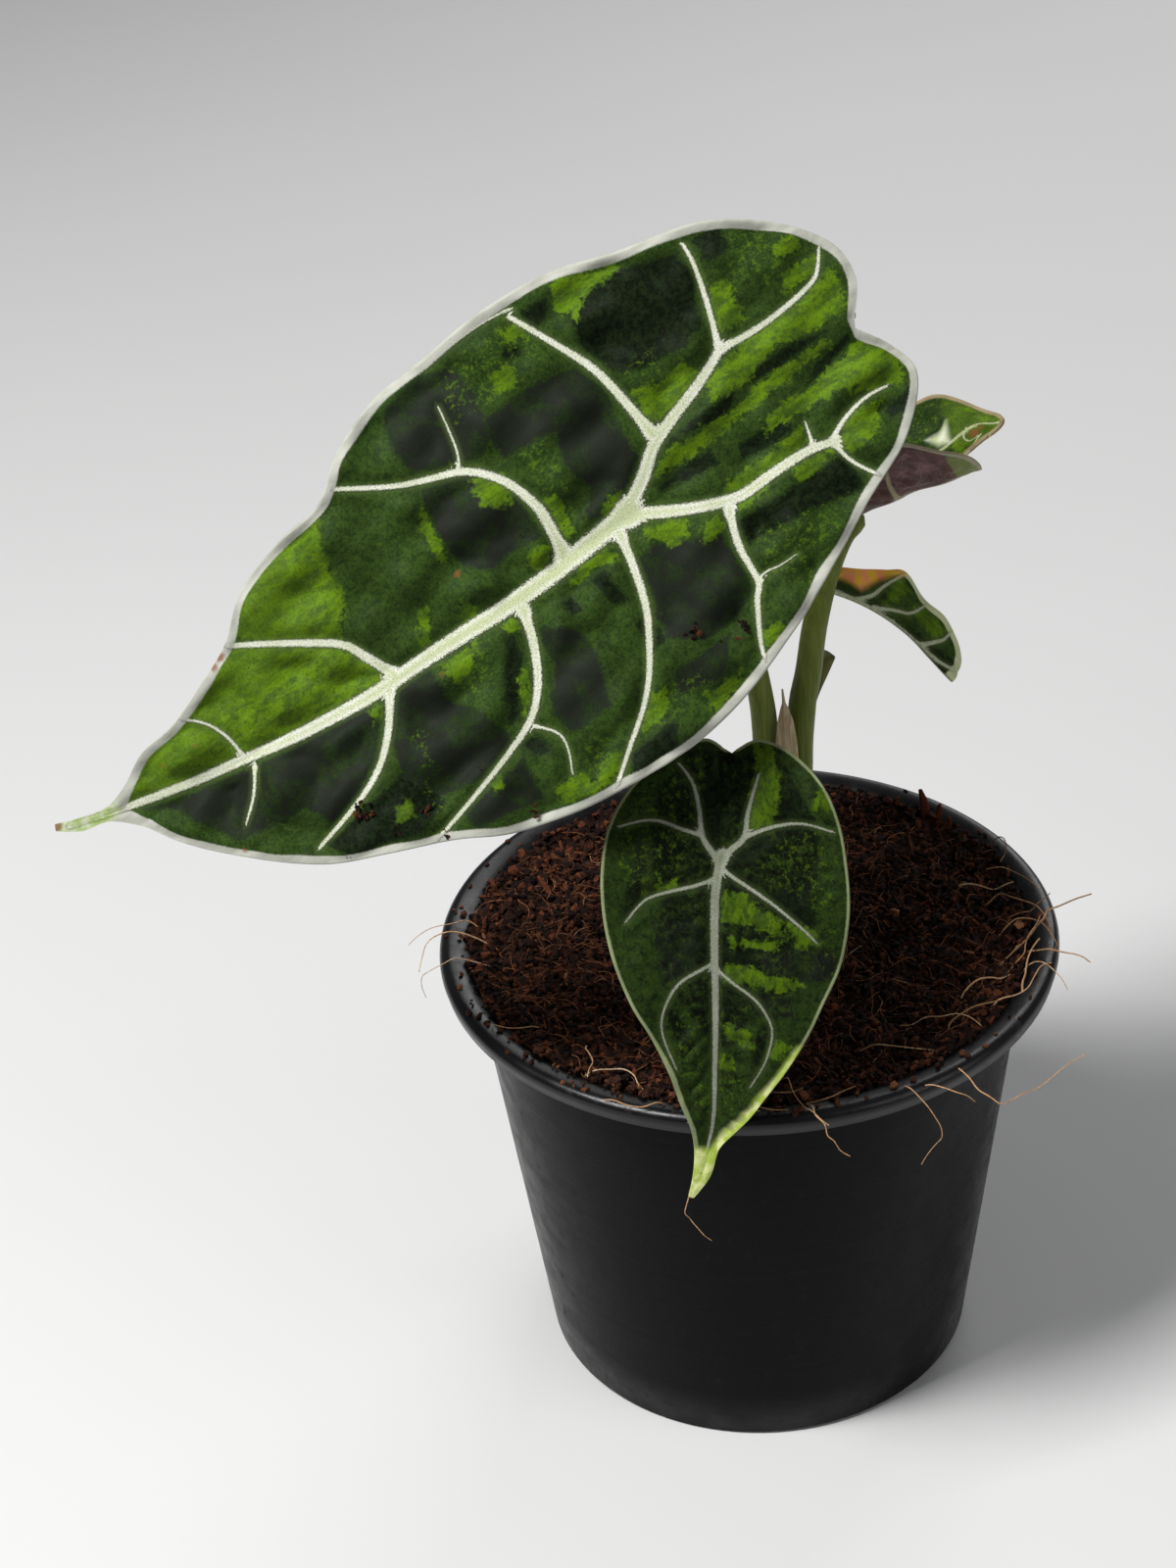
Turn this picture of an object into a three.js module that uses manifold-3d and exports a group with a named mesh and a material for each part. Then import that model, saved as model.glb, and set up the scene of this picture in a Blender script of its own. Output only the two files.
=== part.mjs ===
// Potted variegated alocasia watsoniana: nursery pot, coir mix, crown, petioles and leaf blades.
// Millimetres, +Z up. The origin is the middle of the pot's underside, +X is the viewer's right
// and +Y points away from the viewer, whom the big leaf faces.
import * as THREE from 'three';
import { mergeVertices } from 'three/addons/utils/BufferGeometryUtils.js';
import Module from 'manifold-3d';

// Driving dimensions
const GAP = 0.3;
const BLADE_THICKNESS = 0.8;
const MIN_EDGE = 0.45;
const POT = {
  height: 108,
  rimRadius: 70,
  rimSkirt: 4.4,
  bodyTopRadius: 62.5,
  bodyBottomRadius: 50.2,
  wall: 1.3,
  floor: 2.2,
  recessDepth: 1.8,
  hubRadius: 17,
  footWidth: 4,
  drainHoles: 8,
  drainRadius: 4,
  segments: 48,
};
const MIX = { level: 104.6, mound: 2.6, rings: 8, holeDepth: 30, chips: 26 };
const CROWN = { x: 10.5, y: 5, radius: 11.2, top: 112, bottom: 78 };
const PETIOLE_FOOT = CROWN.top + 1.2 * GAP;

// Finishes
const FINISH = {
  pot: { color: 0x101113, roughness: 0.35, metalness: 0 },
  mix: { color: 0x3a2018, roughness: 0.95, metalness: 0 },
  crown: { color: 0x8a9a4c, roughness: 0.7, metalness: 0 },
  petiole: { color: 0x93a857, roughness: 0.5, metalness: 0 },
  bigBlade: { color: 0x2f5418, roughness: 0.4, metalness: 0 },
  smallBlade: { color: 0x27441a, roughness: 0.4, metalness: 0 },
  curledBlade: { color: 0x6b5a2c, roughness: 0.5, metalness: 0 },
  droopingBlade: { color: 0x2c4a22, roughness: 0.5, metalness: 0 },
  cataphyll: { color: 0xc9ad84, roughness: 0.8, metalness: 0 },
};

const wasm = await Module();
wasm.setup();

// Shared helpers
const vec = (x, y, z) => new THREE.Vector3(x, y, z);

function positionsOnly(geometry) {
  const bare = geometry.clone();
  bare.deleteAttribute('normal');
  bare.deleteAttribute('uv');
  return mergeVertices(bare, 1e-4);
}

function toSolid(geometry) {
  const closed = positionsOnly(geometry);
  return new wasm.Manifold(new wasm.Mesh({
    numProp: 3,
    vertProperties: new Float32Array(closed.attributes.position.array),
    triVerts: new Uint32Array(closed.index.array),
  }));
}

function fromSolid(solid) {
  const mesh = solid.getMesh();
  const geometry = new THREE.BufferGeometry();
  geometry.setAttribute('position', new THREE.Float32BufferAttribute(mesh.vertProperties, 3));
  geometry.setIndex(Array.from(mesh.triVerts));
  return geometry;
}

function seeded(seed) {
  let state = seed;
  return () => {
    state = (state * 1664525 + 1013904223) % 4294967296;
    return state / 4294967296;
  };
}

// Value of a list of [position, value] pairs at x, straight between the pairs
function profileAt(pairs, x) {
  if (typeof pairs === 'number') return pairs;
  if (x <= pairs[0][0]) return pairs[0][1];
  for (let i = 1; i < pairs.length; i += 1) {
    const [x0, y0] = pairs[i - 1];
    const [x1, y1] = pairs[i];
    if (x <= x1) return y0 + ((y1 - y0) * (x - x0)) / (x1 - x0);
  }
  return pairs[pairs.length - 1][1];
}

// A tapered stem along a smooth path, flat across its path at both ends. Half widths and half
// depths are given as pairs of place along the stem, from 0 to 1, and size.
function stemGeometry({ path, widths, depths = widths, sides = 10, steps = 16 }) {
  const curve = new THREE.CatmullRomCurve3(path.map((p) => vec(...p)));
  const geometry = new THREE.CylinderGeometry(1, 1, 1, sides, steps);
  const position = geometry.attributes.position;
  const away = vec(0, 1, 0);
  for (let k = 0; k < position.count; k += 1) {
    const t = Math.round((position.getY(k) + 0.5) * steps) / steps;
    const tangent = curve.getTangentAt(t);
    const side = tangent.clone().cross(away).normalize();
    const depth = tangent.clone().cross(side);
    const point = curve.getPointAt(t)
      .addScaledVector(side, position.getX(k) * profileAt(widths, t))
      .addScaledVector(depth, position.getZ(k) * -profileAt(depths, t));
    position.setXYZ(k, point.x, point.y, point.z);
  }
  return positionsOnly(geometry);
}

// Leaf blades
// A leaf lies flat in a and b: a runs from the petiole along the midrib to the tip, and b runs to
// the side. Each station gives the spine and then both margins, from the sinus between the rear
// lobes to the tip. The flat leaf is then arched along its midrib, folded and curled on each side
// of it, and waved towards its margins.
const BIG_LEAF = {
  hub: [-23, -32, 229],
  tipward: [-0.878, -0.245, -0.411],
  face: [0.035, -0.889, 0.457],
  arch: { front: 0.0016, rear: 0.0012 },
  sweep: 0,
  left: { fold: 0.15, curl: -0.0055, wave: 1.8, waveLength: 44, waveStart: -8 },
  right: { fold: 0.15, curl: -0.0055, wave: 1.8, waveLength: 50, waveStart: 10 },
  halfWidth: 46,
  pucker: 1.1,
  puckerLength: 24,
  along: 44,
  across: 18,
  stations: [
    { spine: [-57.4, -8], left: [-58.3, -9.6], right: [-58.2, -6.8] },
    { spine: [-52, -7.3], left: [-62.8, -16.2], right: [-62.2, -0.8] },
    { spine: [-44, -6], left: [-62, -25], right: [-63.3, 6.5] },
    { spine: [-34, -4.6], left: [-53.6, -34.4], right: [-55, 15.5] },
    { spine: [-24, -3.2], left: [-42, -41.2], right: [-42.5, 22] },
    { spine: [-14, -1.9], left: [-27.3, -44.7], right: [-28.6, 29.6] },
    { spine: [-4, -1], left: [-12, -48.6], right: [-14, 36.9] },
    { spine: [6, -0.3], left: [3.5, -49.1], right: [0, 42.4] },
    { spine: [17, 0.4], left: [17.7, -47.4], right: [14.6, 44.7] },
    { spine: [28, 1.2], left: [30, -45.8], right: [28.5, 44.4] },
    { spine: [38, 1.7], left: [41, -40.9], right: [40, 43.4] },
    { spine: [48, 1.8], left: [49.5, -34.4], right: [51.6, 40.6] },
    { spine: [58, 2.5], left: [60, -32.6], right: [62.5, 35.3] },
    { spine: [68, 2.6], left: [71.5, -28.3], right: [75, 30.6] },
    { spine: [78, 1.6], left: [80, -21.2], right: [86.1, 26.4] },
    { spine: [88, 0.3], left: [89, -16.8], right: [95.5, 19.7] },
    { spine: [97, -1], left: [97.5, -13.4], right: [103.5, 13.1] },
    { spine: [106, -2.4], left: [106, -12], right: [109.5, 6.8] },
    { spine: [113, -3.9], left: [112.5, -8.4], right: [114.2, 0.6] },
    { spine: [119, -5.4], left: [118.5, -6.6], right: [119.5, -3.9] },
    { spine: [125, -6.6], left: [124.6, -7.7], right: [125.4, -5.2] },
    { spine: [129.6, -8.6], left: [129.3, -9.2], right: [129.9, -8] },
  ],
};

const SMALL_LEAF = {
  hub: [-8.3, -53, 161.8],
  tipward: [-0.06, -0.502, -0.863],
  face: [0.03, -0.865, 0.501],
  arch: { front: 0.0052, rear: 0.008 },
  sweep: 0,
  left: { fold: 0.2, curl: -0.012, wave: 0.8, waveLength: 26, waveStart: -4 },
  right: { fold: 0.2, curl: -0.012, wave: 0.8, waveLength: 24, waveStart: 3 },
  halfWidth: 25,
  pucker: 0.7,
  puckerLength: 15,
  along: 32,
  across: 14,
  stations: [
    { spine: [-21.4, 2.6], left: [-22.2, 1.4], right: [-22.2, 3.6] },
    { spine: [-17.5, 2], left: [-24.4, -3], right: [-24, 8] },
    { spine: [-12, 1.2], left: [-21.4, -9.8], right: [-21.4, 14.4] },
    { spine: [-6, 0.4], left: [-15.1, -17.7], right: [-14.9, 20.5] },
    { spine: [0, 0], left: [-7, -22.6], right: [-6.5, 24.3] },
    { spine: [7, -0.8], left: [2, -24.3], right: [3, 25.8] },
    { spine: [14, -1.1], left: [11, -23.9], right: [12.5, 26] },
    { spine: [21, -1.1], left: [20, -22], right: [22, 24.4] },
    { spine: [28, -1], left: [28.5, -18.6], right: [30.5, 20.4] },
    { spine: [35, -0.8], left: [36, -14.2], right: [38.5, 16.7] },
    { spine: [42, -0.9], left: [43.5, -10.5], right: [46, 11.9] },
    { spine: [49, -1], left: [50.5, -8], right: [52.5, 7.4] },
    { spine: [55, -1.4], left: [56, -5.7], right: [57, 3.6] },
    { spine: [61, -2.1], left: [61.2, -4.8], right: [61.2, 0.3] },
    { spine: [67, -3.5], left: [66.6, -5], right: [67, -1.4] },
    { spine: [71.6, -5.3], left: [71.4, -5.8], right: [71.7, -4.8] },
  ],
};

const CURLED_LEAF = {
  hub: [26.5, 18, 201.4],
  tipward: [-0.846, 0.088, -0.522],
  face: [-0.494, 0.204, 0.845],
  arch: { front: 0.004, rear: 0.004 },
  sweep: 0,
  left: { fold: 0, curl: [[-34, 0.062], [60, 0.075]], wave: 0.7, waveLength: 17, waveStart: 2 },
  right: {
    fold: [[-30, -0.55], [-12, -0.2], [0, 0]],
    curl: [[-34, 0.1], [-20, 0.09], [-10, 0.085], [60, 0.08]],
    wave: 0.6,
    waveLength: 14,
    waveStart: 5,
  },
  halfWidth: 22,
  pucker: 0.5,
  puckerLength: 13,
  along: 30,
  across: 14,
  stations: [
    { spine: [-25, 0], left: [-27.5, -2.5], right: [-26.5, 3] },
    { spine: [-22, 0], left: [-36.5, -8.5], right: [-31, 10] },
    { spine: [-18, 0], left: [-32.5, -14], right: [-30.5, 17] },
    { spine: [-13, 0], left: [-24, -20.5], right: [-25, 21] },
    { spine: [-5, 0], left: [-14, -21.5], right: [-15, 24] },
    { spine: [4, 0], left: [-2, -23], right: [-2, 24] },
    { spine: [14, 0], left: [12, -23], right: [12, 23] },
    { spine: [26, 0], left: [25, -20.5], right: [25, 20.5] },
    { spine: [38, 0], left: [38, -16], right: [38, 16] },
    { spine: [48, 0], left: [49, -10.5], right: [49, 10.5] },
    { spine: [57, 0], left: [57, -5], right: [57, 5] },
    { spine: [62, 0], left: [62, -1.6], right: [62, 1.6] },
    { spine: [68, 0], left: [67.8, -0.7], right: [68.2, 0.7] },
  ],
};

const DROOPING_LEAF = {
  hub: [19.7, 19.5, 182.7],
  tipward: [0.934, 0.075, -0.35],
  face: [0.224, -0.885, 0.407],
  arch: { front: 0.004, rear: 0.004 },
  sweep: -0.0104,
  left: { fold: -1.75, curl: -0.02, wave: 0.5, waveLength: 13, waveStart: 0 },
  right: { fold: -0.12, curl: -0.012, wave: 0.5, waveLength: 12, waveStart: 3 },
  halfWidth: 12,
  pucker: 0.4,
  puckerLength: 9,
  along: 22,
  across: 12,
  stations: [
    { spine: [-4.6, 1.2], left: [-4.2, -0.8], right: [-5.8, 3.4] },
    { spine: [-0.6, 0.3], left: [-0.4, -6], right: [-1.2, 5] },
    { spine: [6, 0], left: [4.4, -9.4], right: [7, 6.8] },
    { spine: [12, 0], left: [9.5, -11], right: [14, 9.6] },
    { spine: [18, 0], left: [16, -11], right: [19, 12] },
    { spine: [24, 0], left: [23, -10], right: [25.3, 9.8] },
    { spine: [29, 0.2], left: [29, -7.6], right: [30.9, 10.4] },
    { spine: [33, 1], left: [33.4, -3.8], right: [35, 8.9] },
    { spine: [35.2, 2.2], left: [35.4, -0.4], right: [36.9, 6.4] },
    { spine: [36.5, 3], left: [36.3, 1.6], right: [36.9, 4.2] },
  ],
};

// Turns a and b, and how far v is from the spine to the margin, into a point of the bent leaf
function leafSurface(leaf) {
  const tipward = vec(...leaf.tipward).normalize();
  const face = vec(...leaf.face);
  face.addScaledVector(tipward, -face.dot(tipward)).normalize();
  const sideways = face.clone().cross(tipward);
  const hub = vec(...leaf.hub);
  const curves = {};
  for (const line of ['spine', 'left', 'right']) {
    curves[line] = new THREE.SplineCurve(leaf.stations.map((s) => new THREE.Vector2(...s[line])));
  }
  return (u, v) => {
    const spine = curves.spine.getPoint(u);
    const margin = (v < 0 ? curves.left : curves.right).getPoint(u);
    const { x: a, y: b } = spine.lerp(margin, Math.abs(v));
    const arch = a > 0 ? leaf.arch.front : leaf.arch.rear;
    const half = b < 0 ? leaf.left : leaf.right;
    const out = Math.abs(b);
    const fold = profileAt(half.fold, a);
    const curl = profileAt(half.curl, a);
    const across = (Math.sin(fold + curl * out) - Math.sin(fold)) / curl;
    const wave = Math.sin((2 * Math.PI * (a - half.waveStart)) / half.waveLength);
    const panel = Math.sin((Math.PI * (a - 0.5 * out)) / leaf.puckerLength) ** 2;
    const middle = Math.sin(Math.PI * Math.min(out / leaf.halfWidth, 1));
    const rise = (Math.cos(fold) - Math.cos(fold + curl * out)) / curl
      + half.wave * wave * (out / leaf.halfWidth) ** 2
      + leaf.pucker * (panel - 0.5) * middle;
    const up = face.clone().multiplyScalar(Math.cos(arch * a))
      .addScaledVector(tipward, Math.sin(arch * a));
    return hub.clone()
      .addScaledVector(tipward, Math.sin(arch * a) / arch)
      .addScaledVector(face, -(1 - Math.cos(arch * a)) / arch)
      .addScaledVector(sideways, Math.sign(b) * across + leaf.sweep * a * a)
      .addScaledVector(up, rise);
  };
}

// A blade of even thickness, split into triangles alike on both faces. A narrow row has fewer
// columns, so that no edge is shorter than MIN_EDGE.
function bladeGeometry(leaf) {
  const surface = leafSurface(leaf);
  const { along, across } = leaf;
  const columns = across + 1;
  const perFace = (along + 1) * columns;
  const positions = [];
  const skip = [];
  const step = 1e-3;
  for (let i = 0; i <= along; i += 1) {
    const spacing = surface(i / along, -1).distanceTo(surface(i / along, 1)) / across;
    let every = 1;
    while (every < across / 2 && (spacing * every < MIN_EDGE || (across / 2) % every)) every += 1;
    skip.push(every);
  }
  for (const half of [0.5, -0.5]) {
    for (let i = 0; i <= along; i += 1) {
      for (let j = 0; j <= across; j += 1) {
        const u = i / along;
        const v = (2 * j) / across - 1;
        const point = surface(u, v);
        const du = surface(Math.min(u + step, 1), v).sub(surface(Math.max(u - step, 0), v));
        const dv = surface(u, Math.min(v + step, 1)).sub(surface(u, Math.max(v - step, -1)));
        const normal = du.cross(dv).normalize();
        point.addScaledVector(normal, half * BLADE_THICKNESS);
        positions.push(point.x, point.y, point.z);
      }
    }
  }
  const index = [];
  const at = (i, j) => i * columns + Math.round(j / skip[i]) * skip[i];
  const triangle = (a, b, c) => {
    if (a !== b && b !== c && c !== a) index.push(a, b, c);
  };
  const quad = (a, b, c, d) => {
    triangle(a, b, c);
    triangle(a, c, d);
  };
  for (let i = 0; i < along; i += 1) {
    for (let j = 0; j < across; j += 1) {
      const corners = [at(i, j), at(i + 1, j), at(i + 1, j + 1), at(i, j + 1)];
      if (j >= across / 2) corners.push(corners.shift());
      quad(...corners);
      const under = corners.map((k) => k + perFace);
      triangle(under[0], under[2], under[1]);
      triangle(under[0], under[3], under[2]);
    }
  }
  const rim = [];
  for (let i = 0; i < along; i += 1) rim.push(at(i, 0));
  for (let j = 0; j < across; j += 1) rim.push(at(along, j));
  for (let i = along; i > 0; i -= 1) rim.push(at(i, across));
  for (let j = across; j > 0; j -= 1) rim.push(at(0, j));
  rim.forEach((k, n) => {
    const next = rim[(n + 1) % rim.length];
    quad(next, k, k + perFace, next + perFace);
  });
  const geometry = new THREE.BufferGeometry();
  geometry.setAttribute('position', new THREE.Float32BufferAttribute(positions, 3));
  geometry.setIndex(index);
  return fromSolid(toSolid(geometry));
}

// Petioles end just under the hub of their blade, square to it
function petiole(leaf, foot, middle, widths, steps, lead) {
  const face = vec(...leaf.face).normalize();
  const reach = BLADE_THICKNESS / 2 + 1.5 * GAP;
  const end = vec(...leaf.hub).addScaledVector(face, -reach);
  const before = vec(...leaf.hub).addScaledVector(face, -lead);
  const start = [foot[0], foot[1], PETIOLE_FOOT];
  const rise = [foot[0], foot[1], PETIOLE_FOOT + 3];
  const path = [start, rise, ...middle, before.toArray(), end.toArray()];
  return stemGeometry({ path, widths, steps });
}

function bigLeafPetiole() {
  const middle = [[5.4, 4.6, 140], [5.6, 5, 155], [4.4, 4.2, 168], [0, 2, 186], [-12, -3, 207]];
  return petiole(BIG_LEAF, [5, 3.6], middle, [[0, 3.1], [0.35, 2.75], [1, 2.2]], 22, 14);
}

function smallLeafPetiole() {
  const middle = [[7.5, -8, 128], [2, -20, 145], [-4, -34, 156]];
  return petiole(SMALL_LEAF, [9.4, -3.6], middle, [[0, 2.2], [1, 1.5]], 16, 9);
}

function curledLeafPetiole() {
  const middle = [
    [13, 8, 140], [14, 7.6, 160.5], [15.4, 8, 168], [17.7, 9.5, 182], [21, 12.6, 191.5], [24.8, 16.4, 197.2],
  ];
  return petiole(CURLED_LEAF, [12.8, 8.2], middle, [[0, 3.2], [0.5, 3], [0.8, 2.6], [1, 1.8]], 22, 2);
}

// The drooping leaf is folded in half, and its petiole ends behind it, inside the fold
function droopingLeafPetiole() {
  return stemGeometry({
    path: [
      [6.6, 11.3, PETIOLE_FOOT], [6.6, 11.4, 118], [6, 12.4, 140], [5.6, 13.4, 155], [5.2, 15, 163],
      [6, 18, 170], [9, 21, 177.5], [12.6, 23.4, 183], [16.8, 25.8, 185.7], [19.9, 23.4, 184.2],
    ],
    widths: [[0, 2.1], [0.6, 1.8], [1, 1.3]],
    steps: 24,
  });
}

// Papery sheath with a drawn-out needle tip, standing between the two thick petioles
function cataphyllGeometry() {
  return stemGeometry({
    path: [[10.6, 0.6, PETIOLE_FOOT], [10.2, 1, 140], [9.9, 1.4, 156], [9.6, 1.8, 164], [9.3, 2, 168.4]],
    widths: [[0, 2.4], [0.77, 2.4], [0.86, 1.7], [0.92, 0.8], [0.94, 0.36], [1, 0.25]],
    depths: [[0, 0.8], [0.77, 0.6], [0.94, 0.36], [1, 0.25]],
    sides: 8,
    steps: 26,
  });
}

// Old petiole cut off square, behind the thick one
function cutStubGeometry() {
  return stemGeometry({
    path: [[14, 14.2, PETIOLE_FOOT], [13.6, 14, 138], [13.8, 13.7, 150], [16, 13.7, 160], [20, 14, 169.5]],
    widths: [[0, 2.5], [1, 2.2]],
    sides: 8,
    steps: 12,
  });
}

// Short stem that carries the petioles, rounded below and flat on top
function crownGeometry() {
  const { radius, top, bottom } = CROWN;
  const profile = [
    [0, bottom], [radius * 0.55, bottom], [radius * 0.85, bottom + 5], [radius - GAP, bottom + 12],
    [radius - GAP, top - 3], [radius + 0.4, top - 1.8], [radius + 0.4, top - 0.8], [radius, top], [0, top],
  ];
  const geometry = new THREE.LatheGeometry(profile.map(([r, z]) => new THREE.Vector2(r, z)), 24);
  geometry.rotateX(Math.PI / 2).translate(CROWN.x, CROWN.y, 0);
  return fromSolid(toSolid(geometry));
}

// Nursery pot: rolled rim, tapering wall, foot ring and a recessed ring of drain holes
function potGeometry() {
  const { height, rimRadius, rimSkirt, bodyTopRadius, bodyBottomRadius, wall, floor } = POT;
  const { recessDepth, hubRadius, footWidth, drainHoles, drainRadius, segments } = POT;
  const foot = bodyBottomRadius - 1;
  const shoulder = height - rimSkirt - 2;
  const inner = bodyTopRadius - wall;
  const profile = [
    [0, 0], [hubRadius, 0], [hubRadius + 2, recessDepth], [foot - footWidth - 2, recessDepth],
    [foot - footWidth, 0], [foot, 0], [bodyBottomRadius, 1],
    [bodyTopRadius, shoulder], [bodyTopRadius + 0.8, height - 2.6], [rimRadius - 3, height - 1.9],
    [rimRadius - 1.5, height - rimSkirt], [rimRadius - 0.4, height - rimSkirt],
    [rimRadius, height - rimSkirt + 0.8], [rimRadius, height - 1.8], [rimRadius - 0.6, height - 0.6],
    [rimRadius - 1.8, height], [rimRadius - 3.4, height - 0.1], [rimRadius - 5.2, height - 0.8],
    [inner + 1.2, height - 2.2], [inner, height - 4.5], [inner - 0.2, shoulder - 2],
    [bodyBottomRadius - wall, recessDepth + floor + 1], [bodyBottomRadius - wall - 1, recessDepth + floor],
    [0, recessDepth + floor],
  ];
  const shell = new THREE.LatheGeometry(profile.map(([r, z]) => new THREE.Vector2(r, z)), segments);
  shell.rotateX(Math.PI / 2);
  let pot = toSolid(shell);
  const ringRadius = (hubRadius + 2 + foot - footWidth - 2) / 2;
  for (let k = 0; k < drainHoles; k += 1) {
    const angle = (2 * Math.PI * k) / drainHoles;
    const drill = new THREE.CylinderGeometry(drainRadius, drainRadius, 4 * floor, 16);
    drill.rotateX(Math.PI / 2);
    drill.translate(ringRadius * Math.cos(angle), ringRadius * Math.sin(angle), recessDepth);
    pot = pot.subtract(toSolid(drill));
  }
  return fromSolid(pot);
}

// Straws and roots that stick out of the mix: path points and thickness
const STRAWS = [
  { path: [[58, -6, 104], [62, -5, 108.5], [67, -3, 110.8], [74, -4, 111.5], [80, -2, 112]], radius: 0.55 },
  { path: [[57, -16, 104], [62, -17, 109], [67, -18, 110.2], [73, -19, 109], [79, -20, 106.5]], radius: 0.45 },
  { path: [[50, -33, 104], [53, -37, 108.6], [57.5, -42, 110], [63, -44, 106], [69, -43, 106.5], [76, -40, 112]], radius: 0.45 },
  { path: [[-58, 5, 104], [-63, 6, 109], [-69, 6, 110.5], [-74, 3, 107], [-75, 0, 101]], radius: 0.5 },
  { path: [[-56, -8, 104], [-62, -9, 109], [-68, -10, 110.4], [-73, -12, 108]], radius: 0.4 },
  { path: [[44, 38, 103], [46, 39, 109], [45, 40, 114]], radius: 0.9 },
  { path: [[40, 30, 103], [46, 31, 107.6], [53, 30, 107.2]], radius: 0.9 },
  { path: [[-12, -58, 104], [-11, -64, 109], [-9, -70, 110.2], [-10, -74, 106], [-8, -75.5, 99]], radius: 0.4 },
  { path: [[18, -55, 104], [20, -62, 108.8], [21, -69, 110], [23, -74, 106.5], [26, -76, 101]], radius: 0.4 },
  { path: [[36, -46, 104], [38, -52, 109], [41, -58, 110.3], [44, -61.5, 106.5], [43, -63, 99]], radius: 0.4 },
];

function mixHeight(x, y) {
  const r = Math.hypot(x, y);
  const broad = MIX.mound * Math.exp(-((x - 34) ** 2 + (y - 16) ** 2) / 1500);
  const lumps = 0.5 * Math.sin(x / 4.3 + 1) * Math.cos(y / 3.7) + 0.4 * Math.sin(x / 2.2 - y / 3.1)
    + 0.35 * Math.cos(y / 2.4 + x / 6);
  const edge = r > 56 ? (r - 56) * 0.12 : 0;
  return MIX.level + broad + lumps - edge;
}

// Potting mix: lumpy on top, with chips and straws grown into it and a plain hole for the crown
function mixGeometry() {
  const { wall, floor, recessDepth, bodyBottomRadius, bodyTopRadius, height, rimSkirt, segments } = POT;
  const bottom = recessDepth + floor + GAP;
  const inner = bodyTopRadius - wall - 0.2 - GAP - 0.15;
  const shoulder = height - rimSkirt - 4;
  const profile = [[0, bottom], [bodyBottomRadius - wall - 1.6, bottom], [inner, shoulder]];
  for (let ring = 0; ring <= MIX.rings; ring += 1) {
    profile.push([inner * (1 - ring / MIX.rings), MIX.level]);
  }
  const body = new THREE.LatheGeometry(profile.map(([r, z]) => new THREE.Vector2(r, z)), segments);
  body.rotateX(Math.PI / 2);
  const position = body.attributes.position;
  for (let k = 0; k < position.count; k += 1) {
    if (position.getZ(k) > shoulder + 1) {
      position.setZ(k, mixHeight(position.getX(k), position.getY(k)));
    }
  }
  let mix = toSolid(body);
  const draw = seeded(7);
  for (let k = 0; k < MIX.chips; k += 1) {
    const angle = (2 * Math.PI * (k + 0.5 * draw())) / MIX.chips;
    const r = 30 + 24 * draw();
    const x = r * Math.cos(angle);
    const y = r * Math.sin(angle);
    const chip = new THREE.BoxGeometry(2.6 + 3 * draw(), 2 + 1.4 * draw(), 3.4 + draw());
    chip.rotateX(0.5 * (draw() - 0.5)).rotateY(0.6 * (draw() - 0.5)).rotateZ(Math.PI * draw());
    chip.translate(x, y, mixHeight(x, y) - 0.6);
    mix = mix.add(toSolid(chip));
  }
  for (const { path, radius } of STRAWS) {
    const count = 2 * path.length;
    const straw = stemGeometry({ path, widths: [[0, radius], [1, radius * 0.6]], sides: 4, steps: count });
    mix = mix.add(toSolid(straw));
  }
  const hole = new THREE.CylinderGeometry(CROWN.radius, CROWN.radius, 2 * MIX.holeDepth, 24);
  hole.rotateX(Math.PI / 2).translate(CROWN.x, CROWN.y, MIX.level + 3);
  return fromSolid(mix.subtract(toSolid(hole)));
}

// Assembly
const plant = new THREE.Group();

function addPart(name, geometry, finish) {
  geometry.computeVertexNormals();
  const mesh = new THREE.Mesh(geometry, new THREE.MeshStandardMaterial(FINISH[finish]));
  mesh.name = name;
  plant.add(mesh);
}

addPart('nursery_pot', potGeometry(), 'pot');
addPart('potting_mix', mixGeometry(), 'mix');
addPart('crown', crownGeometry(), 'crown');
addPart('big_leaf_petiole', bigLeafPetiole(), 'petiole');
addPart('big_leaf_blade', bladeGeometry(BIG_LEAF), 'bigBlade');
addPart('small_leaf_petiole', smallLeafPetiole(), 'petiole');
addPart('small_leaf_blade', bladeGeometry(SMALL_LEAF), 'smallBlade');
addPart('curled_leaf_petiole', curledLeafPetiole(), 'petiole');
addPart('curled_leaf_blade', bladeGeometry(CURLED_LEAF), 'curledBlade');
addPart('drooping_leaf_petiole', droopingLeafPetiole(), 'petiole');
addPart('drooping_leaf_blade', bladeGeometry(DROOPING_LEAF), 'droopingBlade');
addPart('cataphyll', cataphyllGeometry(), 'cataphyll');
addPart('cut_petiole_stub', cutStubGeometry(), 'crown');

export default plant;
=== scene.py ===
# Potted variegated alocasia watsoniana: pot, coir, crown, petioles and four leaves, with their finishes.
# Lengths are in millimetres unless a comment says metres; MM turns them into the scene's metres.
import math

import bmesh
import bpy
import numpy as np
from mathutils import Matrix, Vector


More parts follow.
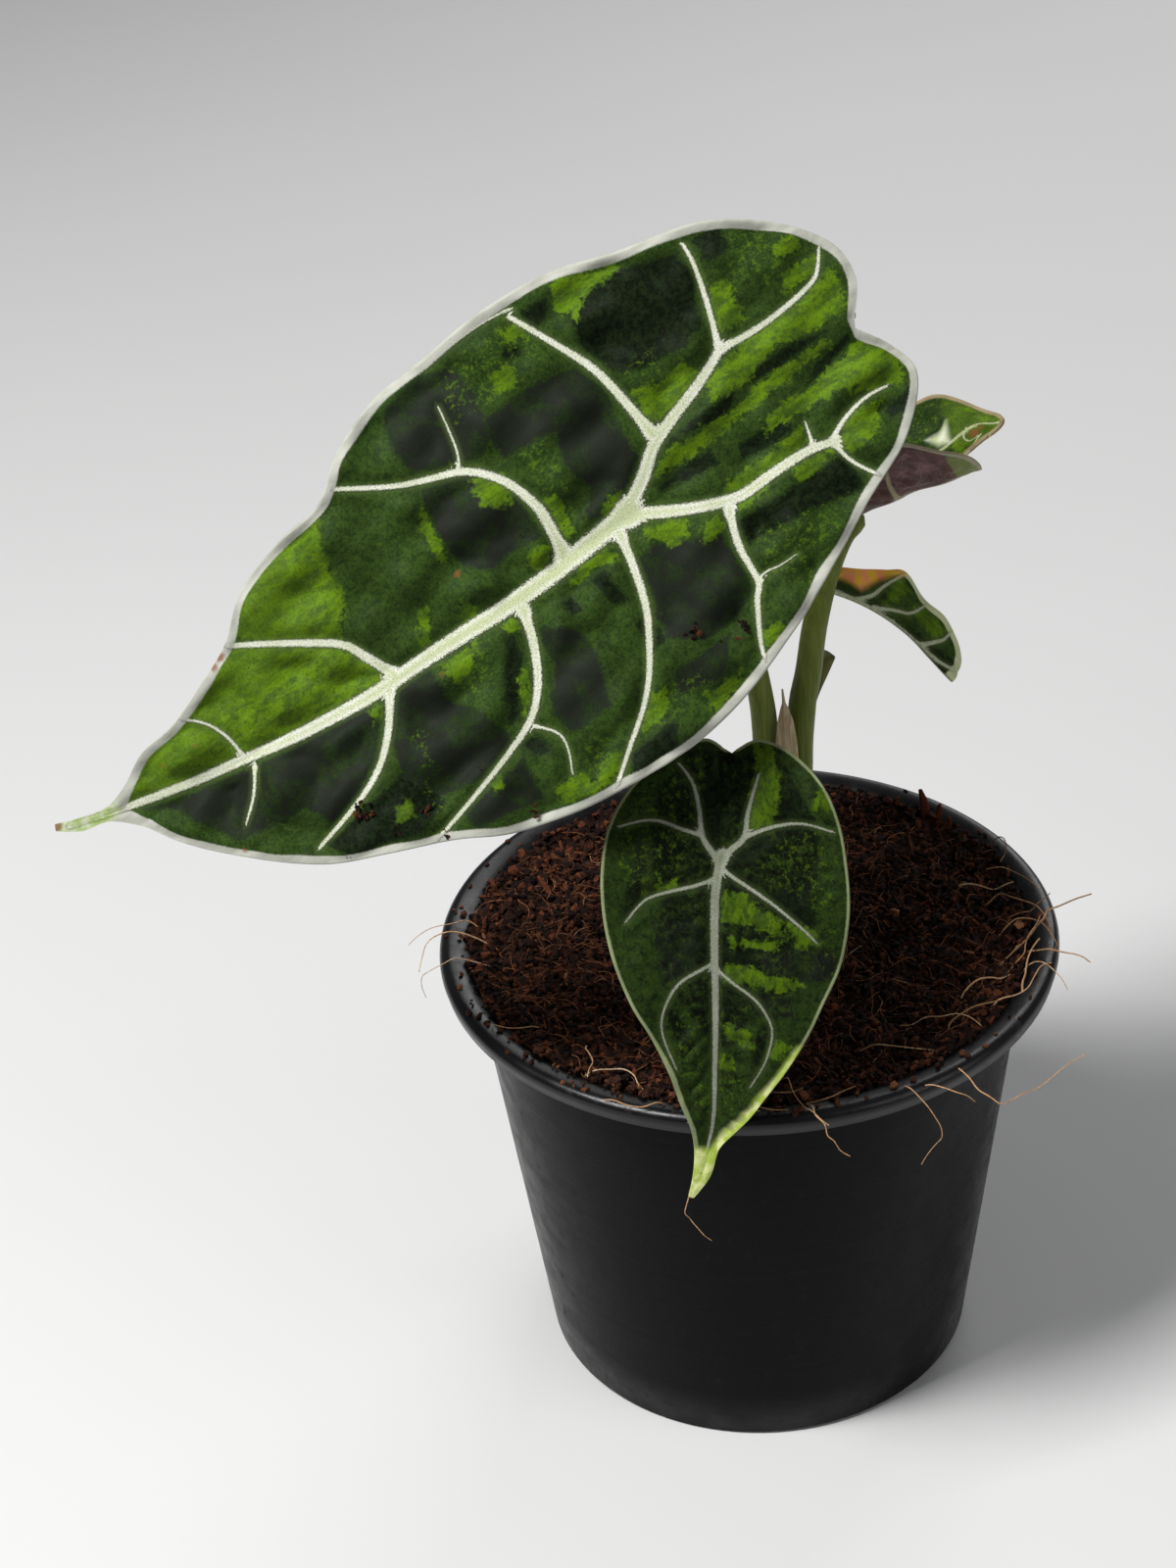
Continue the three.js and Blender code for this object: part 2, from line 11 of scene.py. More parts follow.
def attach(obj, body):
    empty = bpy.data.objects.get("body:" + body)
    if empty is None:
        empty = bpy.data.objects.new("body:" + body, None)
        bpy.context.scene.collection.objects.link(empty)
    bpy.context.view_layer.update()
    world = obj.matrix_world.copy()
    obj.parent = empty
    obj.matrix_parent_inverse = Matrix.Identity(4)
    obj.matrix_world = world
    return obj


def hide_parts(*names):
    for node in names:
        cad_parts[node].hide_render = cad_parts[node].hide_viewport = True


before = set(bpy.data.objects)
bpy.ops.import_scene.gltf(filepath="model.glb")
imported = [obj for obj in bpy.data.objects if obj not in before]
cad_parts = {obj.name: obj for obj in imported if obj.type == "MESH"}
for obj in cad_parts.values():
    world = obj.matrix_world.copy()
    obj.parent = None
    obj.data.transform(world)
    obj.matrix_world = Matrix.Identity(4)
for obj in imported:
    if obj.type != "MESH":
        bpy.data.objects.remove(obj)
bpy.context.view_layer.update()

MM = 0.001
TOUCHING = 0.002 * MM


# Shared helpers
def put(name, data):
    """Puts a mesh, curve, light or camera in the scene."""
    thing = bpy.data.objects.new(name, data)
    bpy.context.scene.collection.objects.link(thing)
    return thing


def as_mesh(bm, name):
    """Ends a bmesh and gives its faces back as a new mesh."""
    mesh = bpy.data.meshes.new(name)
    bm.to_mesh(mesh)
    bm.free()
    return mesh


def final_mesh(thing, name):
    """The shape that an object ends up with, as a new mesh; the object itself goes."""
    bpy.context.view_layer.update()
    mesh = bpy.data.meshes.new_from_object(thing.evaluated_get(bpy.context.evaluated_depsgraph_get()))
    bpy.data.objects.remove(thing)
    mesh.name = name
    return mesh


def add_tint(mesh, shades):
    """The shade of each vertex, from 0 to 1, that coir_finish reads."""
    mesh.attributes.new("tint", "FLOAT", "POINT").data.foreach_set("value", shades)


def ripple(seed, length, *places, count=8):
    """Uneven waves of about one length, the same on each run, from about -1.5 to 1.5."""
    draw = np.random.default_rng(seed)
    total = 0.0
    for _ in range(count):
        turn = draw.normal(size=len(places))
        turn /= np.linalg.norm(turn) * length * draw.uniform(0.7, 1.5)
        phase = draw.uniform(0, 2 * math.pi)
        total = total + np.sin(2 * math.pi * sum(p * t for p, t in zip(places, turn)) + phase)
    return total / math.sqrt(count / 2)


def fade(value, low, high):
    """0 up to low, 1 from high, and smooth between them."""
    t = np.clip((value - low) / (high - low), 0, 1)
    return t * t * (3 - 2 * t)


def pairs_at(pairs, x):
    """Value of a list of [place, value] pairs at x, or a plain number."""
    if np.ndim(pairs) == 0:
        return np.full(np.shape(x), float(pairs))
    table = np.array(pairs, float)
    return np.interp(x, table[:, 0], table[:, 1])


def smooth_line(points, t):
    """Evenly timed smooth curve through flat points, at t from 0 to 1."""
    p = np.asarray(points, float)
    last = len(p) - 1
    i = np.minimum(np.floor(t * last).astype(int), last)
    w = (t * last - i)[..., None]
    p0, p1 = p[np.maximum(i - 1, 0)], p[i]
    p2, p3 = p[np.minimum(i + 1, last)], p[np.minimum(i + 2, last)]
    v0, v1 = (p2 - p0) / 2, (p3 - p1) / 2
    return (2 * p1 - 2 * p2 + v0 + v1) * w**3 + (3 * p2 - 3 * p1 - 2 * v0 - v1) * w**2 + v0 * w + p1


class StemPath:
    """A smooth path through points in space, read by its length."""

    def __init__(self, points, fine=30):
        p = np.asarray(points, float)
        p = np.vstack([2 * p[0] - p[1], p, 2 * p[-1] - p[-2]])
        w = np.linspace(0, 1, fine, endpoint=False)[:, None]
        runs = []
        for x0, x1, x2, x3 in zip(p, p[1:], p[2:], p[3:]):
            pairs = (x1, x0), (x2, x1), (x3, x2)
            d0, d1, d2 = (max(np.linalg.norm(q - r) ** 0.5, 1e-4) for q, r in pairs)
            t1 = ((x1 - x0) / d0 - (x2 - x0) / (d0 + d1) + (x2 - x1) / d1) * d1
            t2 = ((x2 - x1) / d1 - (x3 - x1) / (d1 + d2) + (x3 - x2) / d2) * d1
            bend, ease = 3 * x2 - 3 * x1 - 2 * t1 - t2, 2 * x1 - 2 * x2 + t1 + t2
            runs.append(x1 + t1 * w + bend * w**2 + ease * w**3)
        self.points = np.vstack(runs + [p[-2][None]])
        steps = np.linalg.norm(np.diff(self.points, axis=0), axis=1)
        self.length = steps.sum()
        self.share = np.r_[0, np.cumsum(steps)] / self.length

    def at(self, u):
        return np.stack([np.interp(u, self.share, self.points[:, k]) for k in range(3)], -1)

    def direction(self, u):
        way = self.at(np.minimum(u + 0.01, 1)) - self.at(np.maximum(u - 0.01, 0))
        return way / np.linalg.norm(way, axis=-1, keepdims=True)


def add_piece(name, mesh, finishes, nodes=(), smooth=True):
    """Puts a mesh in the scene as a piece of the plant that stands for some nodes of the frame."""
    piece = put(name, mesh)
    for finish in finishes:
        mesh.materials.append(finish)
    mesh.polygons.foreach_set("use_smooth", [smooth] * len(mesh.polygons))
    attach(piece, "root")
    if nodes:
        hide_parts(*nodes)
    return piece


def bent_grid(name, rows, columns, shape, closed=False, fields=None):
    """A mesh grid bent by shape, which turns u and v from 0 to 1 into points in millimetres."""
    bm = bmesh.new()
    bm.loops.layers.uv.new("UVMap")
    bmesh.ops.create_grid(bm, x_segments=rows, y_segments=columns, size=1, calc_uvs=True)
    mesh = as_mesh(bm, name)
    square = np.empty(len(mesh.vertices) * 3)
    mesh.vertices.foreach_get("co", square)
    u, v = (square.reshape(-1, 3)[:, :2].T + 1) / 2
    mesh.vertices.foreach_set("co", (shape(u, v) * MM).ravel())
    for key, value in (fields(u, v) if fields else {}).items():
        vector = np.ndim(value) > 1
        layer = mesh.attributes.new(key, "FLOAT_VECTOR" if vector else "FLOAT", "POINT")
        layer.data.foreach_set("vector" if vector else "value", np.asarray(value, np.float32).ravel())
    if closed:
        bm = bmesh.new()
        bm.from_mesh(mesh)
        bmesh.ops.remove_doubles(bm, verts=bm.verts, dist=TOUCHING)
        bmesh.ops.holes_fill(bm, edges=[e for e in bm.edges if e.is_boundary], sides=0)
        bmesh.ops.recalc_face_normals(bm, faces=bm.faces)
        bm.to_mesh(mesh)
        bm.free()
    mesh.update()
    return mesh


def joined(name, meshes):
    """Several meshes as one; they themselves go."""
    bm = bmesh.new()
    for mesh in meshes:
        bm.from_mesh(mesh)
        bpy.data.meshes.remove(mesh)
    return as_mesh(bm, name)


# Finishes
class Finish:
    """A new material with short ways to add what its colour, gloss and grain are made of."""

    def __init__(self, name):
        self.material = bpy.data.materials.new(name)
        self.material.use_nodes = True
        self.tree = self.material.node_tree
        self.tree.nodes.clear()
        self.shader = self.add("ShaderNodeBsdfPrincipled")
        output = self.add("ShaderNodeOutputMaterial")
        self.tree.links.new(self.shader.outputs[0], output.inputs[0])

    def add(self, kind, **settings):
        node = self.tree.nodes.new(kind)
        for key, value in settings.items():
            setattr(node, key, value)
        return node

    def feed(self, socket, value):
        if isinstance(value, bpy.types.NodeSocket):
            self.tree.links.new(value, socket)
        elif socket.type == "RGBA":
            socket.default_value = (*value, 1)
        else:
            socket.default_value = value

    def set(self, key, value):
        self.feed(self.shader.inputs[key], value)

    def place(self, stretch=(1, 1, 1)):
        """Object coordinates in millimetres, each times its stretch."""
        source = self.add("ShaderNodeTexCoord").outputs["Object"]
        return self.stretched(source, [s / MM for s in stretch])

    def flat(self, stretch=(1, 1, 1)):
        """The flattened leaf in millimetres, each way times its stretch."""
        source = self.add("ShaderNodeAttribute", attribute_type="GEOMETRY", attribute_name="flat")
        return self.stretched(source.outputs["Vector"], stretch)

    def stretched(self, source, stretch):
        node = self.add("ShaderNodeMapping")
        self.feed(node.inputs["Vector"], source)
        node.inputs["Scale"].default_value = stretch
        return node.outputs[0]

    def field(self, name):
        """A number that the mesh holds for each of its vertices."""
        return self.add("ShaderNodeAttribute", attribute_type="GEOMETRY", attribute_name=name).outputs["Fac"]

    def cloud(self, where, size, detail=3.0, rough=0.55, twist=0.0):
        """Soft noise from 0 to 1 with lumps of about that size."""
        node = self.add("ShaderNodeTexNoise")
        self.feed(node.inputs["Vector"], where)
        node.inputs["Scale"].default_value = 1 / size
        node.inputs["Detail"].default_value = detail
        node.inputs["Roughness"].default_value = rough
        node.inputs["Distortion"].default_value = twist
        return node.outputs["Fac"]

    def cells(self, where, size, feature="DISTANCE_TO_EDGE"):
        """Cells of about that size."""
        node = self.add("ShaderNodeTexVoronoi", feature=feature)
        self.feed(node.inputs["Vector"], where)
        node.inputs["Scale"].default_value = 1 / size
        return node.outputs["Distance"]

    def maths(self, way, a, b=0.0):
        """One sum of Blender's own, such as SUBTRACT, of one or two numbers."""
        node = self.add("ShaderNodeMath", operation=way)
        self.feed(node.inputs[0], a)
        self.feed(node.inputs[1], b)
        return node.outputs[0]

    def sum(self, a, b):
        return self.maths("ADD", a, b)

    def times(self, a, b):
        return self.maths("MULTIPLY", a, b)

    def shifted(self, field, noise, reach):
        """A field moved up and down by a noise, by up to about half of reach."""
        return self.sum(field, self.times(self.sum(noise, -0.5), reach))

    def step(self, value, low, high, start=0.0, end=1.0):
        """From start where the value is low to end where it is high."""
        node = self.add("ShaderNodeMapRange", interpolation_type="SMOOTHSTEP")
        for socket, given in zip(node.inputs, (value, low, high, start, end)):
            self.feed(socket, given)
        return node.outputs[0]

    def blend(self, amount, below, above, share=1.0):
        """The colour above laid over the one below, by amount times share."""
        node = self.add("ShaderNodeMix", data_type="RGBA")
        self.feed(node.inputs[0], amount if share == 1.0 else self.times(amount, share))
        self.feed(node.inputs[6], below)
        self.feed(node.inputs[7], above)
        return node.outputs[2]

    def roughness(self, where, size, low, high):
        """Roughness that wavers between low and high."""
        self.set("Roughness", self.step(self.cloud(where, size), 0.3, 0.7, low, high))

    def grain(self, height, depth, under=None):
        """Bump of that depth in millimetres."""
        node = self.add("ShaderNodeBump")
        node.inputs["Strength"].default_value = 1.0
        node.inputs["Distance"].default_value = depth * MM
        self.feed(node.inputs["Height"], height)
        if under is not None:
            self.feed(node.inputs["Normal"], under)
        return node.outputs[0]


def dimmed(colour, by):
    return tuple(by * c for c in colour)


# Leaf colours, the sizes of the noise and cells that break them up, and the leaf's gloss
LIME, LIME_DEEP = (0.100, 0.185, 0.005), (0.056, 0.108, 0.006)
GREEN, GREEN_DEEP = (0.035, 0.068, 0.010), (0.015, 0.033, 0.006)
# DARK is the leaf's own near-black and also painted shade in its creases.
DARK, DARK_DEEP = (0.008, 0.015, 0.005), (0.002, 0.0035, 0.0015)
# SLATE is a greyish dark green, partly the leaf's own colour and partly painted sheen.
SLATE, SHADE, SPECK = (0.012, 0.0135, 0.0105), (0.012, 0.024, 0.006), (0.03, 0.018, 0.008)
VEIN, VEIN_GREEN = (0.68, 0.69, 0.59), (0.42, 0.48, 0.24)
FAINT_NET, HALO = (0.16, 0.25, 0.05), (0.14, 0.2, 0.06)
MARGIN, RUST = (0.42, 0.425, 0.365), (0.17, 0.062, 0.022)
DRIP, DRIP_LOW = (0.50, 0.54, 0.38), (0.32, 0.42, 0.15)
REGION, BROAD, STREAK, BLOT, SMALL, FUR, SPECKLE, GRIT = 9.0, 7.0, 2.2, 1.7, 1.5, 0.55, 0.5, 0.34
NET, SPECK_EVERY, SKIN = 3.4, 2.6, 0.62
LEAF_GLOSS, LEAF_SATIN, LEAF_MATT = 0.05, 0.56, 0.85
UNDER_LINE, UNDER_RIM = (0.30, 0.26, 0.15), (0.32, 0.30, 0.2)


def leaf_tones(f, painted_light_scale, lively, mottle):
    """Colour between the veins, in broken patches, and the small noise that broke them up; the brightness
    scale multiplies these colours, above 1 as painted light and below 1 as painted shade.
    """
    def scaled(colour):
        return dimmed(colour, painted_light_scale)

    def patch(kind, reach, soft):
        level = f.shifted(f.shifted(f.field(kind), broad, 3.6 * reach), small, 5.5 * reach)
        return f.step(level, -soft, soft)

    where = f.flat()
    region = f.cloud(where, REGION, 2.0)
    broad = f.cloud(where, BROAD, 4.0, 0.6, 0.4)
    streaks = f.cloud(f.flat((0.45, 1, 1)), STREAK, 5.0, 0.66, 0.3)
    small = f.cloud(where, SMALL, 5.0, 0.72, 0.3)
    speckle = f.sum(f.times(small, 0.5), f.times(f.cloud(where, SPECKLE, 4.0, 0.75), 0.5))
    speckle = f.step(speckle, 0.42, 0.56)
    flecks = f.sum(f.times(small, 0.6), f.times(speckle, 0.2))
    flecks = f.step(f.sum(f.step(f.field("fleck"), -2.5, 2.5, -0.35, 0.0), flecks), 0.46, 0.60)

    green = f.blend(speckle, scaled(GREEN_DEEP), scaled(GREEN))
    lime = f.blend(f.step(streaks, 0.38, 0.62), dimmed(LIME_DEEP, lively), dimmed(LIME, lively))
    lime = f.blend(f.step(f.sum(streaks, small), 1.02, 0.86), lime, scaled(GREEN), 0.55)
    glow = f.blend(f.step(streaks, 0.35, 0.65), scaled(LIME_DEEP), scaled(LIME))
    dark = f.blend(f.step(small, 0.42, 0.62), scaled(DARK_DEEP), scaled(DARK))
    slate = f.blend(f.times(speckle, f.step(broad, 0.45, 0.65)), scaled(SLATE), scaled(GREEN_DEEP))

    colour = f.blend(f.step(broad, 0.55, 0.42), green, dark, 0.3)
    # Dark patches: partly the leaf's own dark colour, partly painted shade along creases and folds.
    colour = f.blend(patch("dark", 1.0, 0.45), colour, dark, 0.97)
    # Slate patches: greyish dark green, partly the leaf's own colour and partly painted sheen.
    colour = f.blend(patch("slate", 0.9, 0.45), colour, slate, 0.96)
    if mottle:
        blots = f.cloud(where, BLOT, 7.0, 0.8, 0.8)
        here = f.times(f.step(region, 0.35, 0.6), 0.8 * mottle)
        colour = f.blend(f.times(f.step(blots, 0.47, 0.58), here), colour, scaled(GREEN))
        colour = f.blend(f.times(f.step(blots, 0.56, 0.66), here), colour, scaled(LIME_DEEP))
        colour = f.blend(f.step(blots, 0.47, 0.38), colour, dark, 0.9 * mottle)
    colour = f.blend(flecks, colour, lime, 0.7)
    colour = f.blend(patch("glow", 0.8, 0.9), colour, glow, 0.8)
    colour = f.blend(patch("lime", 1.0, 0.5), colour, lime, 0.97)
    net = f.step(f.cells(where, NET), 0.0, 0.07, 1.0, 0.0)
    colour = f.blend(f.times(net, f.step(f.field("glow"), -1.0, 1.0)), colour, scaled(FAINT_NET), 0.12)
    colour = f.blend(f.step(f.cloud(where, FUR, 3.0, 0.6), 0.42, 0.7), colour, scaled(SHADE), 0.4)
    specks = f.step(f.cells(where, SPECK_EVERY, "F1"), 0.10, 0.05)
    return f.blend(f.times(specks, f.step(region, 0.52, 0.62)), colour, SPECK), small


def leaf_top(name, vein=VEIN, vein_low=VEIN_GREEN, margin=MARGIN, painted_light_scale=1.0, fuzz=1.0,
             drip=DRIP, drip_low=DRIP_LOW, mottle=0.0, lively=1.0):
    """Upper side of a leaf: patches, furry pale veins, a pale margin, the tip's own colour and rust."""
    f = Finish(name)
    where = f.flat()
    colour, small = leaf_tones(f, painted_light_scale, lively, mottle)

    fur = f.cloud(f.flat((1.4, 1.4, 1)), FUR, 5.0, 0.8)
    line = f.maths("SUBTRACT", f.maths("ABSOLUTE", f.field("side")), f.field("half"))
    line = f.maths("MAXIMUM", line, f.sum(f.field("vein"), -0.45))
    line = f.shifted(line, fur, f.times(f.sum(f.times(f.field("half"), 1.5), 0.6), fuzz))
    colour = f.blend(f.step(line, 1.3, 0.0), colour, dimmed(HALO, painted_light_scale), 0.22)
    pale = f.blend(f.step(f.cloud(where, 5.0), 0.35, 0.65, 0.0, 0.35), vein, vein_low)
    pale = f.blend(f.step(line, -0.6, -1.5), pale, vein_low, 0.75)
    grit = f.step(f.cloud(where, GRIT, 4.0, 0.8), 0.47, 0.60)
    pale = f.blend(grit, pale, tuple(0.5 * (c + 0.03) for c in vein_low), 0.7)
    colour = f.blend(f.step(line, 0.16, -0.16), colour, pale)

    rim = f.step(f.cloud(f.flat((0.35, 1, 1)), 2.4, 4.0), 0.35, 0.7)
    rim = f.blend(rim, margin, dimmed(margin, 0.75))
    colour = f.blend(f.step(f.shifted(f.field("rim"), fur, 0.7), 0.15, -0.25), colour, rim)
    tip = f.blend(f.step(f.cloud(where, 2.8, 4.0), 0.38, 0.6), drip, drip_low)
    colour = f.blend(f.step(f.field("drip"), -0.8, 1.2), colour, tip)
    rust = f.step(f.shifted(f.field("rust"), small, 1.2), -0.4, 0.5)
    f.set("Base Color", f.blend(rust, colour, RUST, 0.8))

    matt = f.sum(small, f.times(f.step(line, 0.2, -0.2), 0.6))
    f.set("Roughness", f.step(matt, 0.2, 1.3, LEAF_SATIN, LEAF_MATT))
    f.set("Specular IOR Level", LEAF_GLOSS)
    bump = f.grain(f.cells(where, SKIN, "SMOOTH_F1"), 0.035)
    bump = f.grain(f.cloud(f.flat((1, 0.55, 1)), 2.6, 2.0), 0.06, bump)
    f.set("Normal", f.grain(f.step(line, 0.35, -0.25), 0.16, bump))
    return f.material


def leaf_underside(name, base=(0.085, 0.038, 0.030), sheen=(0.14, 0.07, 0.055), tip=None):
    """Purple-brown lower side with paler ribs, in soft clouds of a lighter painted sheen; tip is the colour
    of a lobe's green end, if it has one, and such a leaf also gets a painted pinkish sheen where its glow
    field is.
    """
    f = Finish(name)
    where = f.flat()
    colour = f.blend(f.step(f.cloud(where, 6.0, 4.0), 0.35, 0.65), base, sheen)
    colour = f.blend(f.step(f.field("lime"), -2.0, 2.0), colour, (0.13, 0.13, 0.04), 0.35)
    if tip:
        # Painted pinkish sheen, streaked, where the glow field is.
        painted_sheen = f.step(f.shifted(f.field("glow"), f.cloud(where, 2.5, 4.0), 4.0), -0.5, 1.5)
        painted_sheen = f.times(painted_sheen, f.step(f.cloud(f.flat((0.4, 1, 1)), 2.0, 4.0, 0.6), 0.42, 0.6))
        colour = f.blend(painted_sheen, colour, (0.26, 0.12, 0.13), 0.6)
        end = f.step(f.shifted(f.field("slate"), f.cloud(where, 2.0), 2.0), -0.4, 0.6)
        colour = f.blend(end, colour, tip)
    colour = f.blend(f.step(f.cells(where, NET), 0.0, 0.10, 1.0, 0.0), colour, UNDER_LINE, 0.12)
    colour = f.blend(f.step(f.field("vein"), 0.25, -0.25), colour, UNDER_LINE)
    f.set("Base Color", f.blend(f.step(f.field("rim"), 0.1, -0.2), colour, UNDER_RIM))
    f.roughness(where, 1.5, 0.45, 0.6)
    f.set("Normal", f.grain(f.cloud(where, 1.2), 0.3, f.grain(f.cells(where, 0.7, "SMOOTH_F1"), 0.08)))
    return f.material


def stem_finish(name, low, high, streak, rough=0.42):
    """Green plant tissue with fine lengthwise streaks and a few freckles."""
    f = Finish(name)
    along = f.place((1, 1, 0.06))
    colour = f.blend(f.step(f.cloud(along, 1.1, 4.0), 0.35, 0.68), low, high)
    colour = f.blend(f.step(f.cloud(along, 0.42), 0.5, 0.72), colour, streak, 0.35)
    freckles = f.step(f.cloud(f.place((1, 1, 0.5)), 2.6, 4.0), 0.52, 0.7)
    f.set("Base Color", f.blend(freckles, colour, dimmed(low, 0.45), 0.2))
    f.roughness(f.place(), 1.5, rough - 0.06, rough + 0.12)
    f.set("Specular IOR Level", 0.2)
    f.set("Normal", f.grain(f.cloud(along, 0.5), 0.18))
    return f.material


def rib_finish():
    f = Finish("rib_tissue")
    where = f.place()
    tone = f.step(f.cloud(where, 2.0, 4.0), 0.35, 0.65)
    f.set("Base Color", f.blend(tone, (0.20, 0.15, 0.08), (0.33, 0.30, 0.17)))
    f.roughness(where, 0.8, 0.5, 0.62)
    f.set("Normal", f.grain(f.cloud(where, 0.5), 0.12))
    return f.material


COIR_LOW, COIR_HIGH, COIR_RARE = (0.007, 0.0025, 0.0015), (0.105, 0.031, 0.012), (0.34, 0.16, 0.08)


def coir_finish(name, low=COIR_LOW, high=COIR_HIGH, rare=COIR_RARE, rough=0.85):
    """Moist coir: each chip or strand has its own shade, from the field tint."""
    f = Finish(name)
    where = f.place()
    tint = f.sum(f.field("tint"), f.times(f.sum(f.cloud(where, 1.2, 4.0), -0.5), 0.5))
    colour = f.blend(f.step(tint, 0.1, 0.75), low, high)
    colour = f.blend(f.step(tint, 0.86, 1.0), colour, rare)
    wet = f.step(f.cloud(where, 0.5), 0.45, 0.7, 0.0, 0.5)
    f.set("Base Color", f.blend(wet, colour, dimmed(low, 0.4)))
    f.roughness(where, 1.0, rough - 0.1, rough)
    f.set("Specular IOR Level", 0.12)
    f.set("Normal", f.grain(f.cloud(where, 0.6, 4.0, 0.7), 0.35))
    return f.material


def pot_finish():
    """Black moulded plastic: satin wall, glossier rim, fine scuffs and a little coir dust."""
    f = Finish("black_plastic")
    where = f.place()
    dust = f.step(f.cloud(where, 4.0, 5.0, 0.7), 0.56, 0.74)
    scuff = f.step(f.cloud(f.place((1, 1, 0.14)), 0.9, 4.0, 0.7), 0.6, 0.72)
    colour = f.blend(dust, (0.0035, 0.0035, 0.004), (0.03, 0.02, 0.015), 0.22)
    f.set("Base Color", f.blend(scuff, colour, (0.02, 0.02, 0.021), 0.2))
    f.set("Roughness", f.sum(f.step(f.cloud(where, 6.0, 4.0), 0.3, 0.7, 0.24, 0.36), f.times(dust, 0.2)))
    height = f.add("ShaderNodeSeparateXYZ")
    f.feed(height.inputs[0], f.place((0, 0, 1)))
    rim = POT_HEIGHT - RIM_SKIRT
    f.set("Specular IOR Level", f.step(height.outputs["Z"], rim - 2.1, rim - 0.1, 0.05, 0.3))
    rings = f.cloud(f.place((0.02, 0.02, 1)), 1.7, 2.0)
    f.set("Normal", f.grain(f.cloud(where, 0.8), 0.02, f.grain(rings, 0.05)))
    return f.material


def paper_finish():
    """Dry sheath: tan, with dark lengthwise veins and brown stains."""
    f = Finish("dry_sheath")
    along = f.place((1, 1, 0.04))
    colour = f.blend(f.step(f.cloud(along, 0.8, 4.0), 0.35, 0.65), (0.30, 0.22, 0.11), (0.52, 0.42, 0.26))
    colour = f.blend(f.step(f.cloud(along, 0.35), 0.55, 0.72, 0.0, 0.6), colour, (0.14, 0.08, 0.035))
    stain = f.step(f.cloud(f.place(), 3.0, 4.0), 0.56, 0.7, 0.0, 0.5)
    f.set("Base Color", f.blend(stain, colour, (0.24, 0.13, 0.06)))
    f.roughness(f.place(), 1.0, 0.6, 0.8)
    f.set("Normal", f.grain(f.cloud(along, 0.4), 0.3))
    return f.material


def floor_finish():
    f = Finish("pale_floor")
    tone = f.cloud(f.place((0.01, 0.01, 0.01)), 3.0)
    f.set("Base Color", f.blend(tone, (0.60, 0.60, 0.59), (0.64, 0.64, 0.63)))
    f.set("Roughness", 0.75)
    return f.material


# Camera, fitted to the photo
CAMERA_PLACE = (-33.933, -547.145, 489.292)
CAMERA_RIGHT, CAMERA_UP = (0.99798, -0.03355, -0.05390), (0.06349, 0.52737, 0.84726)
CAMERA_AHEAD = (0.0, 0.84897, -0.52844)
LENS, SENSOR = 67.5, 36


def photo_camera():
    data = bpy.data.cameras.new("camera")
    data.lens = LENS
    data.sensor_width = SENSOR
    camera = put("camera", data)
    turn = Matrix((Vector(CAMERA_RIGHT), Vector(CAMERA_UP), -Vector(CAMERA_AHEAD))).transposed().to_4x4()
    camera.matrix_world = Matrix.Translation(Vector(CAMERA_PLACE) * MM) @ turn
    bpy.context.scene.camera = camera


# Floor and light, in metres and watts
FLOOR_REACH = 4.0
SKY, SKY_STRENGTH = (0.90, 0.93, 1.0), 0.13
LAMP_AIM = Vector((-0.01, 0.0, 0.15))
LAMPS = (
    ("key", (-0.62, -0.35, 1.20), 0.40, 24.0),
    ("fill", (1.1, -0.7, 0.8), 0.9, 4.0),
    ("back", (0.5, 1.2, 0.9), 0.8, 6.0),
)


def studio():
    """A plain pale floor, a dim even sky and three soft lamps: name, place, size and power."""
    bm = bmesh.new()
    bmesh.ops.create_grid(bm, x_segments=8, y_segments=8, size=FLOOR_REACH)
    floor = put("floor", as_mesh(bm, "floor"))
    floor.data.materials.append(floor_finish())
    world = bpy.data.worlds.new("studio")
    bpy.context.scene.world = world
    world.use_nodes = True
    sky = world.node_tree.nodes["Background"]
    sky.inputs[0].default_value = (*SKY, 1)
    sky.inputs[1].default_value = SKY_STRENGTH
    for name, place, size, power in LAMPS:
        data = bpy.data.lights.new(name, "AREA")
        data.size = size
        data.energy = power
        lamp = put(name, data)
        lamp.location = place
        lamp.rotation_euler = (LAMP_AIM - Vector(place)).to_track_quat("-Z", "Y").to_euler()
    bpy.context.scene.view_settings.view_transform = "Standard"


# Nursery pot
POT_HEIGHT, RIM_RADIUS, RIM_SKIRT = 108.0, 70.0, 4.4
BODY_TOP, BODY_BOTTOM, WALL, FLOOR, RECESS = 62.5, 50.2, 1.3, 2.2, 1.8
HUB_RADIUS, FOOT_WIDTH, DRAIN_HOLES, DRAIN_RADIUS = 17.0, 4.0, 8, 4.0
FOOT_RADIUS, SLOPE = BODY_BOTTOM - 1, 2
ROUND_STEPS, HOLE_STEPS, WALL_STEPS = 144, 32, 8
SHARP_FROM = math.radians(50)


